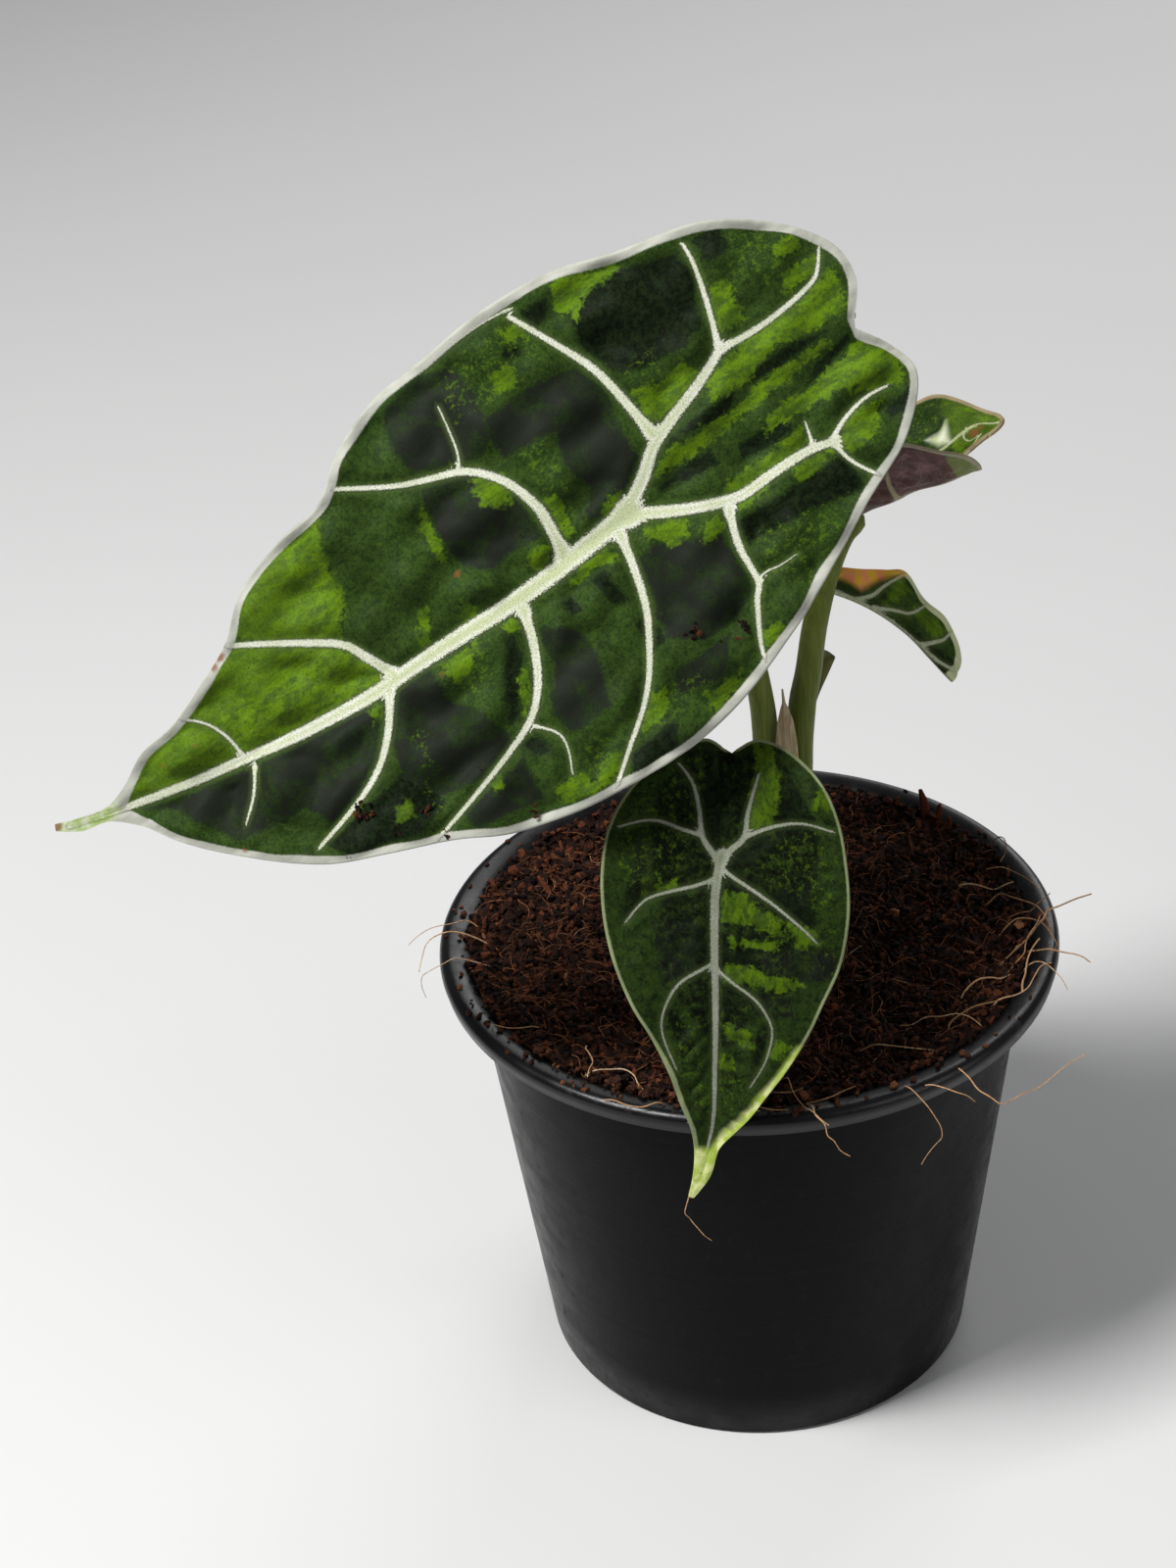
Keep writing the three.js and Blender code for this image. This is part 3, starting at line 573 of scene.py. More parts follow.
def pot_profile():
    """Radius and height along the pot's skin, from the middle underneath to the middle of the floor."""
    foot, inner, top = FOOT_RADIUS, BODY_TOP - WALL, POT_HEIGHT
    shoulder = top - RIM_SKIRT - 2
    underside = [(0, 0), (HUB_RADIUS, 0), (HUB_RADIUS + SLOPE, RECESS), (foot - FOOT_WIDTH - SLOPE, RECESS),
                 (foot - FOOT_WIDTH, 0), (foot - 0.4, 0), (foot + 0.2, 0.2), (BODY_BOTTOM, 1)]
    wall = [(BODY_BOTTOM + (BODY_TOP - BODY_BOTTOM) * k / WALL_STEPS, 1 + (shoulder - 1) * k / WALL_STEPS)
            for k in range(1, WALL_STEPS + 1)]
    skirt = [(BODY_TOP + 0.3, top - 3.4), (BODY_TOP + 1.2, top - 2.3), (RIM_RADIUS - 3.2, top - 1.9),
             (RIM_RADIUS - 2.0, top - 2.4), (RIM_RADIUS - 1.5, top - RIM_SKIRT),
             (RIM_RADIUS - 0.5, top - RIM_SKIRT)]
    roll = []
    for k in range(9):
        angle = math.pi * (-0.15 + 0.75 * k / 8)
        roll.append((RIM_RADIUS - 2.0 + 2.0 * math.cos(angle), top - 2.1 + 2.1 * math.sin(angle)))
    lip = [(RIM_RADIUS - 4.2, top - 0.3), (RIM_RADIUS - 5.4, top - 0.9), (inner + 1.2, top - 2.2),
           (inner + 0.3, top - 3.4), (inner, top - 5.0), (inner - 0.2, shoulder - 2)]
    floor = [(BODY_BOTTOM - WALL, RECESS + FLOOR + 1), (BODY_BOTTOM - WALL - 1, RECESS + FLOOR),
             (0, RECESS + FLOOR)]
    return underside + wall + skirt + roll + lip + floor


def pot_blank():
    """The profile spun round the pot's axis."""
    bm = bmesh.new()
    line = [bm.verts.new((r * MM, 0, z * MM)) for r, z in pot_profile()]
    edges = [bm.edges.new(pair) for pair in zip(line, line[1:])]
    bmesh.ops.spin(bm, geom=line + edges, cent=(0, 0, 0), axis=(0, 0, 1), angle=2 * math.pi,
                   steps=ROUND_STEPS, use_merge=True)
    bmesh.ops.remove_doubles(bm, verts=bm.verts, dist=TOUCHING)
    bmesh.ops.recalc_face_normals(bm, faces=bm.faces)
    return put("pot_blank", as_mesh(bm, "pot_shell"))


def drain_drill():
    """A ring of pegs where the drain holes go, halfway across the recess."""
    bm = bmesh.new()
    ring = (HUB_RADIUS + SLOPE + FOOT_RADIUS - FOOT_WIDTH - SLOPE) / 2
    for k in range(DRAIN_HOLES):
        angle = 2 * math.pi * k / DRAIN_HOLES
        place = Matrix.Translation(Vector((ring * math.cos(angle), ring * math.sin(angle), RECESS)) * MM)
        bmesh.ops.create_cone(bm, cap_ends=True, segments=HOLE_STEPS, radius1=DRAIN_RADIUS * MM,
                              radius2=DRAIN_RADIUS * MM, depth=5 * FLOOR * MM, matrix=place)
    return put("drain_drill", as_mesh(bm, "drain_holes"))


def nursery_pot():
    blank = pot_blank()
    drill = drain_drill()
    cut = blank.modifiers.new("drain", "BOOLEAN")
    cut.operation = "DIFFERENCE"
    cut.solver = "EXACT"
    cut.object = drill
    mesh = final_mesh(blank, "pot_shell_drilled")
    bpy.data.objects.remove(drill)
    add_piece("nursery_pot_shell", mesh, [pot_finish()], ["nursery_pot"])
    bm = bmesh.new()
    bm.from_mesh(mesh)
    sharp = [len(e.link_faces) == 2 and e.calc_face_angle(0) > SHARP_FROM for e in bm.edges]
    bm.free()
    mesh.attributes.new("sharp_edge", "BOOLEAN", "EDGE").data.foreach_set("value", sharp)


# Potting mix
MIX_LEVEL, MIX_EDGE, MIX_INNER, MIX_BOTTOM = 104.6, 63.4, 60.55, 4.3
MIX_LIP = (62.0, 105.2)
CROWN_X, CROWN_Y, CROWN_RADIUS = 10.5, 5.0, 11.2
MOUND_X, MOUND_Y, MOUND_HEIGHT, MOUND_SPREAD = 34, 16, 2.6, 1500


def mix_height(x, y):
    """Height of the mix: level, with a low mound, soft lumps and a rise towards the rim."""
    mound = MOUND_HEIGHT * np.exp(-((x - MOUND_X) ** 2 + (y - MOUND_Y) ** 2) / MOUND_SPREAD)
    lumps = 0.5 * np.sin(x / 4.3 + 1) * np.cos(y / 3.7) + 0.4 * np.sin(x / 2.2 - y / 3.1)
    lumps = lumps + 0.35 * np.cos(y / 2.4 + x / 6)
    return MIX_LEVEL + mound + lumps + np.maximum(np.hypot(x, y) - 55, 0) * 0.26


def mix_bed():
    """The mix as one closed body with a crumbly top."""
    top_share, lip_share = 0.86, 0.15
    side = [MIX_LIP, (MIX_INNER, 103.0), (BODY_BOTTOM - WALL - 1.6, MIX_BOTTOM), (0.0, MIX_BOTTOM)]
    legs = [0, lip_share, 0.3, 0.75, 1]

    def shape(u, v):
        angle = 2 * math.pi * v
        down = np.clip((u - top_share) / (1 - top_share), 0, 1)
        r_side = np.interp(down, legs, [MIX_EDGE] + [p[0] for p in side])
        z_side = np.interp(down, legs, [0] + [p[1] for p in side])
        r = np.where(u <= top_share, MIX_EDGE * u / top_share, r_side)
        x, y = r * np.cos(angle), r * np.sin(angle)
        crumbs = 0.55 * ripple(11, 3.4, x, y, count=12) + 0.35 * ripple(12, 1.7, x, y, count=14)
        top = mix_height(x, y) + crumbs
        lip = top + (MIX_LIP[1] - top) * down / lip_share
        z = np.where(u <= top_share, top, np.where(down <= lip_share, lip, z_side))
        return np.stack([x, y, z], -1)

    def fields(u, v):
        angle = 2 * math.pi * v
        x, y = u * RIM_RADIUS * np.cos(angle), u * RIM_RADIUS * np.sin(angle)
        return {"tint": 0.25 + 0.12 * ripple(13, 2.2, x, y)}

    mesh = bent_grid("coir_bed", 96, 288, shape, closed=True, fields=fields)
    add_piece("coir_bed", mesh, [coir_finish("moist_coir")], ["potting_mix"])


def scattered(name, count, seed, place, make, finish, batch=120):
    """Many small bits of the mix, each made from a few faces and set down in batches."""
    draw = np.random.default_rng(seed)
    meshes = []
    for start in range(0, count, batch):
        bm = bmesh.new()
        tint = bm.verts.layers.float.new("tint")
        for _ in range(min(batch, count - start)):
            spot = place(draw)
            if spot is None:
                continue
            verts = make(bm, draw)
            turn = Matrix.Rotation(draw.uniform(0, 2 * math.pi), 4, "Z")
            for axis in "XY":
                turn = turn @ Matrix.Rotation(draw.normal(0, 0.45), 4, axis)
            bmesh.ops.transform(bm, matrix=Matrix.Translation(Vector(spot) * MM) @ turn, verts=verts)
            shade = draw.beta(0.9, 2.4)
            for vert in verts:
                vert[tint] = shade
        meshes.append(as_mesh(bm, name))
    add_piece(name, joined(name, meshes), [finish], smooth=False)


def crumb(bm, draw):
    """A rough granule of 20 faces."""
    verts = bmesh.ops.create_icosphere(bm, subdivisions=1, radius=MM)["verts"]
    size = draw.uniform(0.35, 1.05, 3) * draw.choice([0.7, 1.0, 1.5], p=[0.5, 0.38, 0.12])
    for vert in verts:
        vert.co = Vector([c * s * draw.uniform(0.7, 1.25) for c, s in zip(vert.co, size)])
    return verts


def chip(bm, draw):
    """A split sliver of husk, longer than wide, leaning and torn at its ends."""
    verts = bmesh.ops.create_cube(bm, size=MM)["verts"]
    long = draw.uniform(1.0, 3.6) * draw.choice([1.0, 1.5], p=[0.88, 0.12])
    wide, thick = draw.uniform(0.4, 1.3), draw.uniform(0.25, 0.7)
    lean = draw.normal(0, 0.18)
    for vert in verts:
        x, y, z = vert.co / MM
        taper = 1 - 0.45 * draw.random() * abs(2 * x)
        x_long = x * long * draw.uniform(0.85, 1.1)
        vert.co = Vector((x_long, (y * wide + lean * x * long) * taper, z * thick)) * MM
    return verts


def mix_spot(draw, reach=63.6, rise=0.25):
    """A place on the mix within reach of its middle, or None where the crown stands."""
    r = reach * math.sqrt(draw.random())
    angle = draw.uniform(0, 2 * math.pi)
    x, y = r * math.cos(angle), r * math.sin(angle)
    if math.hypot(x - CROWN_X, y - CROWN_Y) < CROWN_RADIUS - 0.5:
        return None
    return x, y, float(mix_height(x, y)) + rise + draw.uniform(-0.4, 0.7)


def rim_spot(draw):
    """A place on the rolled rim, most often at the front."""
    angle = draw.normal(-1.9, 0.55) if draw.random() < 0.7 else draw.uniform(0, 2 * math.pi)
    r = draw.uniform(61.5, 68.6)
    return r * math.cos(angle), r * math.sin(angle), POT_HEIGHT + 0.1 - 0.02 * (r - 66) ** 2


# Straws and fibres
PATH_STEPS, CAP_SHADE = 4, 0.5


def threads(name, runs, finish, sides=0):
    """Thin strands: each run is (points, thickness at the start, thickness at the end, shade)."""
    data = bpy.data.curves.new(name, "CURVE")
    data.dimensions = "3D"
    data.bevel_depth = MM
    data.bevel_resolution = sides
    data.use_fill_caps = True
    round_verts = 4 + 2 * sides
    shades = []
    for points, thick, thin, shade in runs:
        path = StemPath(points, fine=PATH_STEPS).points
        spline = data.splines.new("POLY")
        spline.points.add(len(path) - 1)
        radius = np.linspace(thick, thin, len(path)) / 2
        for point, place, size in zip(spline.points, path, radius):
            point.co = (*(place * MM), 1)
            point.radius = size
        shades += [shade] * (len(path) * round_verts)
    mesh = final_mesh(put(name, data), name)
    # The caps add vertices, so the list is filled up to the length of the mesh.
    shades += [CAP_SHADE] * (len(mesh.vertices) - len(shades))
    add_tint(mesh, shades)
    add_piece(name, mesh, [finish])


def kinked(runs, seed, slim=0.7):
    """The same straws, thinner and with small kinks between their points."""
    draw = np.random.default_rng(seed)
    bent = []
    for points, thick, thin, shade in runs:
        p = np.asarray(points, float)
        line = smooth_line(p, np.linspace(0, 1, 2 * len(p) - 1))
        line[1:-1] += draw.normal(0, 0.28, line[1:-1].shape)
        bent.append((line, slim * thick, slim * thin, shade))
    return bent


def mix_fibres(count, seed):
    """Short fibres that wander over the mix, each in four hops."""
    draw = np.random.default_rng(seed)
    edge, hops = 63, 4
    runs = []
    for _ in range(count):
        spot = mix_spot(draw, 58.5, 0.3)
        if spot is None:
            continue
        heading = draw.uniform(0, 2 * math.pi)
        length = draw.uniform(3, 13)
        points = []
        x, y = spot[:2]
        for k in range(hops + 1):
            r = math.hypot(x, y)
            if r > edge:
                x, y = x * edge / r, y * edge / r
            hop = draw.uniform(0, 1.4) * math.sin(math.pi * k / hops)
            points.append((x, y, float(mix_height(x, y)) + 0.5 + hop))
            heading += draw.normal(0, 0.45)
            x += math.cos(heading) * length / hops
            y += math.sin(heading) * length / hops
        thick = draw.uniform(0.1, 0.24)
        runs.append((points, thick, thick * 0.5, draw.beta(1.8, 2.0)))
    return runs


# Straws and roots that reach over the rim: points, thickness at both ends and shade
RIM_STRAWS = [
    ([(56, -14, 104), (60, -13, 106.6), (63, -11, 108.8), (66, -7, 110), (70, -4, 111),
      (78, 0, 111)], 1.0, 0.5, 0.8),
    ([(58, -13, 105), (63, -17, 108.8), (68, -20, 110), (74, -22, 108)], 0.7, 0.4, 0.75),
    ([(57, -31, 104.5), (58, -29, 108), (60, -22, 109.4), (64, -14, 109.6)], 0.8, 0.5, 0.7),
    ([(36, -50, 104), (40, -55, 107), (43, -66, 109.4), (47, -69, 108), (52, -66, 107.4), (58, -63, 109),
      (66, -60, 112)], 0.5, 0.3, 0.85),
    ([(30, -56, 104), (34, -63, 109), (38, -66.6, 109.4), (42, -67, 107)], 0.5, 0.25, 0.8),
    ([(26, -56, 104), (29, -64, 109.2), (32, -70, 108.6), (34, -72.5, 105), (33, -73, 101),
      (30, -74, 97)], 0.36, 0.2, 0.75),
    ([(6, -60, 104), (8, -68, 109.4), (10, -73, 108), (12, -75, 105), (15, -76, 102)], 0.45, 0.25, 0.8),
    ([(-56, 2, 104), (-62, 3, 108), (-68, 3, 109.8), (-73, 2, 107.5), (-75, -1, 102)], 0.6, 0.3, 0.7),
    ([(-55, -6, 104), (-62, -7, 108.6), (-69, -9, 109.8), (-74, -10, 107), (-73, -14, 104)], 0.4, 0.2, 0.7),
    ([(-57, 8, 104), (-64, 8, 109), (-71, 6, 109), (-77, 2, 107.5)], 0.4, 0.2, 0.7),
    ([(-38, -37, 104), (-38, -40, 107), (-37.6, -45, 110.4), (-37, -50, 111),
      (-38, -53, 109)], 0.5, 0.3, 0.99),
    ([(-39, -48, 105), (-36, -50, 108), (-30, -51, 108.8), (-27, -56, 108), (-25, -58, 106)], 0.5, 0.3, 0.85),
    ([(3, -52, 104), (4, -57, 107.6), (5, -64, 108.6), (8, -70, 109.6), (11, -73, 108)], 0.45, 0.25, 0.85),
    ([(-14, -62, 104.5), (-12, -67, 109), (-9, -70, 110), (-5, -69, 109.6), (-2, -66, 107)], 0.6, 0.3, 0.95),
    ([(-20, -60, 105), (-24, -64, 109), (-30, -64, 109.6), (-35, -60, 108.2)], 0.5, 0.3, 0.8),
    ([(46, 12, 106), (51, 10, 109), (57, 9, 108.2), (62, 10, 108.9)], 0.7, 0.4, 0.8),
    ([(20, -44, 104), (24, -47, 108), (30, -49, 108.4), (36, -48, 106.5)], 0.6, 0.3, 0.75),
    ([(44, -30, 105), (48, -27, 108.6), (54, -26, 108.4), (58, -22, 107)], 0.7, 0.4, 0.7),
    ([(-17.9, -75.4, 95.6), (-18.4, -77.4, 94.6), (-19.6, -79.1, 92.6), (-18, -80.1, 89.6),
      (-16, -81.5, 88.6), (-14.4, -82.1, 87)], 0.34, 0.2, 0.9),
    ([(48, -36, 105), (52, -35, 108.6), (58, -32, 109.6), (62, -26, 110.4), (65, -24, 110)], 0.55, 0.3, 0.8),
    ([(54, 18, 106), (60, 15, 110), (64, 8, 111.6), (67, 3, 110.6)], 0.5, 0.3, 0.7),
    ([(57, -24, 105), (61, -23, 109.6), (65, -27, 110.6), (67, -33, 109)], 0.5, 0.25, 0.75),
    ([(30, -38, 106), (35, -40, 108.6), (42, -39, 109), (47, -42, 107.6)], 0.4, 0.25, 0.85),
    ([(-47, -30, 105), (-51, -33, 108.6), (-55, -34, 109.4), (-58, -31, 108)], 0.45, 0.25, 0.8),
    ([(18, -57, 105), (17, -62, 109), (12, -66, 110), (7, -67, 109.4)], 0.5, 0.3, 0.9),
    ([(-6, -60, 105), (-9, -64, 109), (-14, -68, 110), (-18, -70, 108.6)], 0.45, 0.25, 0.9),
    ([(58, 28, 107), (61, 27, 110), (62, 22, 111), (60, 17, 110)], 0.5, 0.3, 0.7),
    ([(52, 4, 105), (58, 4, 109.6), (63, 0, 110.6), (66, -6, 110.4), (67, -12, 109.6)], 0.7, 0.35, 0.35),
    ([(55, -8, 105), (60, -6, 109.4), (65, -9, 110.8), (67, -15, 110.4), (66, -20, 109.8)], 0.6, 0.3, 0.3),
    ([(53, -20, 105), (58, -17, 108.8), (63, -12, 110.2), (66, -5, 110.6)], 0.6, 0.35, 0.45),
    ([(56, -2, 105), (61, -4, 109.4), (66, -2, 111), (69, 2, 110.6)], 0.5, 0.3, 0.5),
    ([(50, -26, 105), (55, -24, 108.4), (60, -19, 109.4), (62, -12, 109.8), (65, -8, 111.4)], 0.55, 0.3, 0.4),
    ([(40, -40, 105), (44, -37, 108.2), (50, -36, 108.8), (55, -33, 108.2)], 0.5, 0.3, 0.3),
    ([(-8, -58, 105), (-4, -61, 108.6), (2, -62, 109), (7, -60, 108)], 0.5, 0.3, 0.3),
    ([(-12, -60, 105), (-9, -65, 109), (-4, -68, 110), (3, -69, 109.6)], 0.45, 0.25, 0.6),
]
# Husk splinters that stand up out of the mix: foot, top, width
SPLINTERS = [
    ((46, 40, 103), (44.6, 41.5, 115.5), 2.3), ((48.5, 36, 103), (50.8, 34.6, 111.6), 2.0),
    ((47.4, 38.6, 104), (49, 39.4, 112.4), 1.6), ((34, 2, 105), (38, -1, 109.6), 1.6),
    ((38, -22, 103), (41, -26, 108.8), 1.5), ((-44, 22, 103), (-47, 25, 108.8), 1.7),
    ((22, 34, 105), (19, 37, 109.6), 1.6), ((-20, -46, 103), (-24, -49, 107.8), 1.5),
    ((52, 8, 104), (55, 12, 109), 1.6),
]
SPLINTER_SHADE = 0.78


def splinters():
    """Flat, slightly bent slivers of husk."""
    meshes = []
    for k, (foot, top, width) in enumerate(SPLINTERS):
        middle = 0.5 * np.add(foot, top) + (0.5, 0, 0)
        widths = [[0, width / 2], [0.8, width * 0.42], [1, width * 0.2]]
        path = StemPath([foot, middle, top])
        meshes.append(stem_mesh("splinter", path, widths, [[0, 0.5], [1, 0.22]], 8, 14, 0.12, 40 + k))
    mesh = joined("husk_splinters", meshes)
    add_tint(mesh, [SPLINTER_SHADE] * len(mesh.vertices))
    add_piece("husk_splinters", mesh, [coir_finish("split_husk")])


# Crown and stems
CROWN_HEIGHTS = [[0, 78], [0.16, 80], [0.3, 90], [0.84, 111], [1, 112.2]]
CROWN_RADII = [[0, 0], [0.08, 6.5], [0.2, 9.6], [0.4, 10.6], [0.72, 11.1], [0.86, 10.4], [0.93, 8.6], [1, 0]]
PETIOLE_FOOT, SHEATH_FOOT = 112.36, 108.5
BIG_FOOT, SMALL_FOOT, CURLED_FOOT = (5, 3.6), (9.4, -3.6), (12.8, 8.2)


def stem_mesh(name, path, widths, depths, sides, steps, uneven, seed):
    """A tapered stem of half widths and half depths along a path, closed at both ends."""
    def shape(u, v):
        centre, way = path.at(u), path.direction(u)
        side = np.cross(way, (0, 1, 0))
        side /= np.linalg.norm(side, axis=-1, keepdims=True)
        depth = np.cross(way, side)
        angle = 2 * math.pi * v
        x, y = np.cos(angle), np.sin(angle)
        swell = 1 + uneven * ripple(seed, 1.1, x, y, u * path.length / 14)
        return (centre + side * (x * pairs_at(widths, u) * swell)[:, None]
                + depth * (y * pairs_at(depths, u) * swell)[:, None])

    return bent_grid(name, steps, sides, shape, closed=True)


def crown_piece(finish):
    """Short stem with the rings and torn edges of old leaf bases."""
    def shape(u, v):
        angle = 2 * math.pi * v
        z, r = pairs_at(CROWN_HEIGHTS, u), pairs_at(CROWN_RADII, u)
        scar = 0.45 * np.abs(np.sin(z * 0.9 + 1.3 * np.sin(angle + 0.6)))
        scar = scar * fade(u, 0.25, 0.4) * fade(1 - u, 0.1, 0.25)
        r = r * (1 + 0.035 * np.sin(3 * angle + 0.1 * z)) - scar
        return np.stack([CROWN_X + r * np.cos(angle), CROWN_Y + r * np.sin(angle), z], -1)

    mesh = bent_grid("leaf_crown", 64, 96, shape, closed=True)
    add_piece("leaf_crown", mesh, [finish], ["crown"])


def stem_piece(name, points, widths, depths, grid, uneven, seed, finish, nodes=()):
    """A stem as a piece; grid is how many sides and steps it has."""
    mesh = stem_mesh(name, StemPath(points), widths, depths, *grid, uneven, seed)
    add_piece(name, mesh, [finish], nodes)


def leaf_stem(name, leaf, foot, middle, widths, lead, finish, node, seed):
    """A petiole from the crown to just under the hub of its blade."""
    face = np.array(leaf["face"]) / np.linalg.norm(leaf["face"])
    hub = np.array(leaf["hub"])
    points = [(*foot, PETIOLE_FOOT), (*foot, PETIOLE_FOOT + 3), *middle, hub - face * lead, hub - face * 0.6]
    stem_piece(name, points, widths, widths, (28, 110), 0.018, seed, finish, [node])


def clasping_base(name, foot, radius, lean, finish, seed):
    """The flared foot of a petiole, wrapped round the crown."""
    x, y = foot
    points = [(x, y, SHEATH_FOOT), (x + lean[0], y + lean[1], 114), (x, y, 122), (x, y, 129)]
    widths = [[0, radius * 1.5], [0.35, radius * 1.42], [0.75, radius * 1.14], [1, radius * 0.98]]
    stem_piece(name, points, widths, widths, (32, 36), 0.03, seed, finish)


# Leaves
# The same stations and bends as the solid blades. A flat place is millimetres from the hub towards the
# tip, and millimetres across. arch is the spine's bend on the tip's side of the hub and behind it, and
# sweep turns it aside. left and right are each half's fold, curl and wave, with the wave's length and
# start. pucker is the height and length of the swellings between the veins. creases are the heights of
# coarse and fine wrinkles, sag is the depth of the veins, quilt is the height, length and reach of the
# folds by the midrib, and band is the width of the pale margin along the leaf.
BIG_LEAF = {
    "hub": (-23, -32, 229), "tipward": (-0.878, -0.245, -0.411), "face": (0.035, -0.889, 0.457),
    "arch": (0.0016, 0.0012), "sweep": 0.0, "half": 46, "pucker": (1.1, 24),
    "left": (0.15, -0.0055, 1.8, 44, -8), "right": (0.15, -0.0055, 1.8, 50, 10),
    "creases": (0.85, 0.05), "sag": 0.6, "quilt": (0.5, 13.0, 26.0),
    "band": [[-62, 1.7], [0, 1.9], [60, 1.7], [108, 1.5], [113, 2.0], [118, 3.2]],
    "spine": [(-57.4, -8), (-52, -7.3), (-44, -6), (-34, -4.6), (-24, -3.2), (-14, -1.9), (-4, -1), (6, -0.3),
              (17, 0.4), (28, 1.2), (38, 1.7), (48, 1.8), (58, 2.5), (68, 2.6), (78, 1.6), (88, 0.3),
              (97, -1), (106, -2.4), (113, -3.9), (119, -5.4), (125, -6.6), (129.6, -8.6)],
    "left_margin": [(-58.3, -9.6), (-62.8, -16.2), (-62, -25), (-53.6, -34.4), (-42, -41.2), (-27.3, -44.7),
                    (-12, -48.6), (3.5, -49.1), (17.7, -47.4), (30, -45.8), (41, -40.9), (49.5, -34.4),
                    (60, -32.6), (71.5, -28.3), (80, -21.2), (89, -16.8), (97.5, -13.4), (106, -12),
                    (112.5, -8.4), (118.5, -6.6), (124.6, -7.7), (129.3, -9.2)],
    "right_margin": [(-58.2, -6.8), (-62.2, -0.8), (-63.3, 6.5), (-55, 15.5), (-42.5, 22), (-28.6, 29.6),
                     (-14, 36.9), (0, 42.4), (14.6, 44.7), (28.5, 44.4), (40, 43.4), (51.6, 40.6),
                     (62.5, 35.3), (75, 30.6), (86.1, 26.4), (95.5, 19.7), (103.5, 13.1), (109.5, 6.8),
                     (114.2, 0.6), (119.5, -3.9), (125.4, -5.2), (129.9, -8)],
}
SMALL_LEAF = {
    "hub": (-8.3, -53, 161.8), "tipward": (-0.06, -0.502, -0.863), "face": (0.03, -0.865, 0.501),
    "arch": (0.0052, 0.008), "sweep": 0.0, "half": 25, "pucker": (0.7, 15),
    "left": (0.2, -0.012, 0.8, 26, -4), "right": (0.2, -0.012, 0.8, 24, 3),
    "creases": (0.25, 0.08), "sag": 0.3, "quilt": (0.45, 4.4, 9.0),
    "band": [[-20, 0.6], [36, 0.7], [44, 1.1], [60, 0.8]],
    "spine": [(-21.4, 2.6), (-17.5, 2), (-12, 1.2), (-6, 0.4), (0, 0), (7, -0.8), (14, -1.1), (21, -1.1),
              (28, -1), (35, -0.8), (42, -0.9), (49, -1), (55, -1.4), (61, -2.1), (67, -3.5), (71.6, -5.3)],
    "left_margin": [(-22.2, 1.4), (-24.4, -3), (-21.4, -9.8), (-15.1, -17.7), (-7, -22.6), (2, -24.3),
                    (11, -23.9), (20, -22), (28.5, -18.6), (36, -14.2), (43.5, -10.5), (50.5, -8), (56, -5.7),
                    (61.2, -4.8), (66.6, -5), (71.4, -5.8)],
    "right_margin": [(-22.2, 3.6), (-24, 8), (-21.4, 14.4), (-14.9, 20.5), (-6.5, 24.3), (3, 25.8),
                     (12.5, 26), (22, 24.4), (30.5, 20.4), (38.5, 16.7), (46, 11.9), (52.5, 7.4), (57, 3.6),
                     (61.2, 0.3), (67, -1.4), (71.7, -4.8)],
}
CURLED_LEAF = {
    "hub": (26.5, 18, 201.4), "tipward": (-0.846, 0.088, -0.522), "face": (-0.494, 0.204, 0.845),
    "arch": (0.004, 0.004), "sweep": 0.0, "half": 22, "pucker": (0.5, 13),
    "left": (0, [[-34, 0.062], [60, 0.075]], 0.7, 17, 2),
    "right": ([[-30, -0.55], [-12, -0.2], [0, 0]], [[-34, 0.1], [-20, 0.09], [-10, 0.085], [60, 0.08]],
              0.6, 14, 5),
    "creases": (0.2, 0.16), "sag": 0.3, "quilt": (0.4, 12.0, 26.0),
    "band": [[-36, 0.8], [60, 0.6]],
    "spine": [(-25, 0), (-22, 0), (-18, 0), (-13, 0), (-5, 0), (4, 0), (14, 0), (26, 0), (38, 0), (48, 0),
              (57, 0), (62, 0), (68, 0)],
    "left_margin": [(-27.5, -2.5), (-36.5, -8.5), (-32.5, -14), (-24, -20.5), (-14, -21.5), (-2, -23),
                    (12, -23), (25, -20.5), (38, -16), (49, -10.5), (57, -5), (62, -1.6), (67.8, -0.7)],
    "right_margin": [(-26.5, 3), (-31, 10), (-30.5, 17), (-25, 21), (-15, 24), (-2, 24), (12, 23), (25, 20.5),
                     (38, 16), (49, 10.5), (57, 5), (62, 1.6), (68.2, 0.7)],
}
DROOPING_LEAF = {
    "hub": (19.7, 19.5, 182.7), "tipward": (0.934, 0.075, -0.35), "face": (0.224, -0.885, 0.407),
    "arch": (0.004, 0.004), "sweep": -0.0104, "half": 12, "pucker": (0.4, 9),
    "left": (-1.75, -0.02, 0.5, 13, 0), "right": (-0.12, -0.012, 0.5, 12, 3),
    "creases": (0.12, 0.06), "sag": 0.25, "quilt": (0.4, 12.0, 26.0),
    "band": [[-5, 0.8], [10, 0.7], [20, 1.2], [30, 1.7], [36, 2.0]],
    "spine": [(-4.6, 1.2), (-0.6, 0.3), (6, 0), (12, 0), (18, 0), (24, 0), (29, 0.2), (33, 1), (35.2, 2.2),
              (36.5, 3)],
    "left_margin": [(-4.2, -0.8), (-0.4, -6), (4.4, -9.4), (9.5, -11), (16, -11), (23, -10), (29, -7.6),
                    (33.4, -3.8), (35.4, -0.4), (36.3, 1.6)],
    "right_margin": [(-5.8, 3.4), (-1.2, 5), (7, 6.8), (14, 9.6), (19, 12), (25.3, 9.8), (30.9, 10.4),
                     (35, 8.9), (36.9, 6.4), (36.9, 4.2)],
}

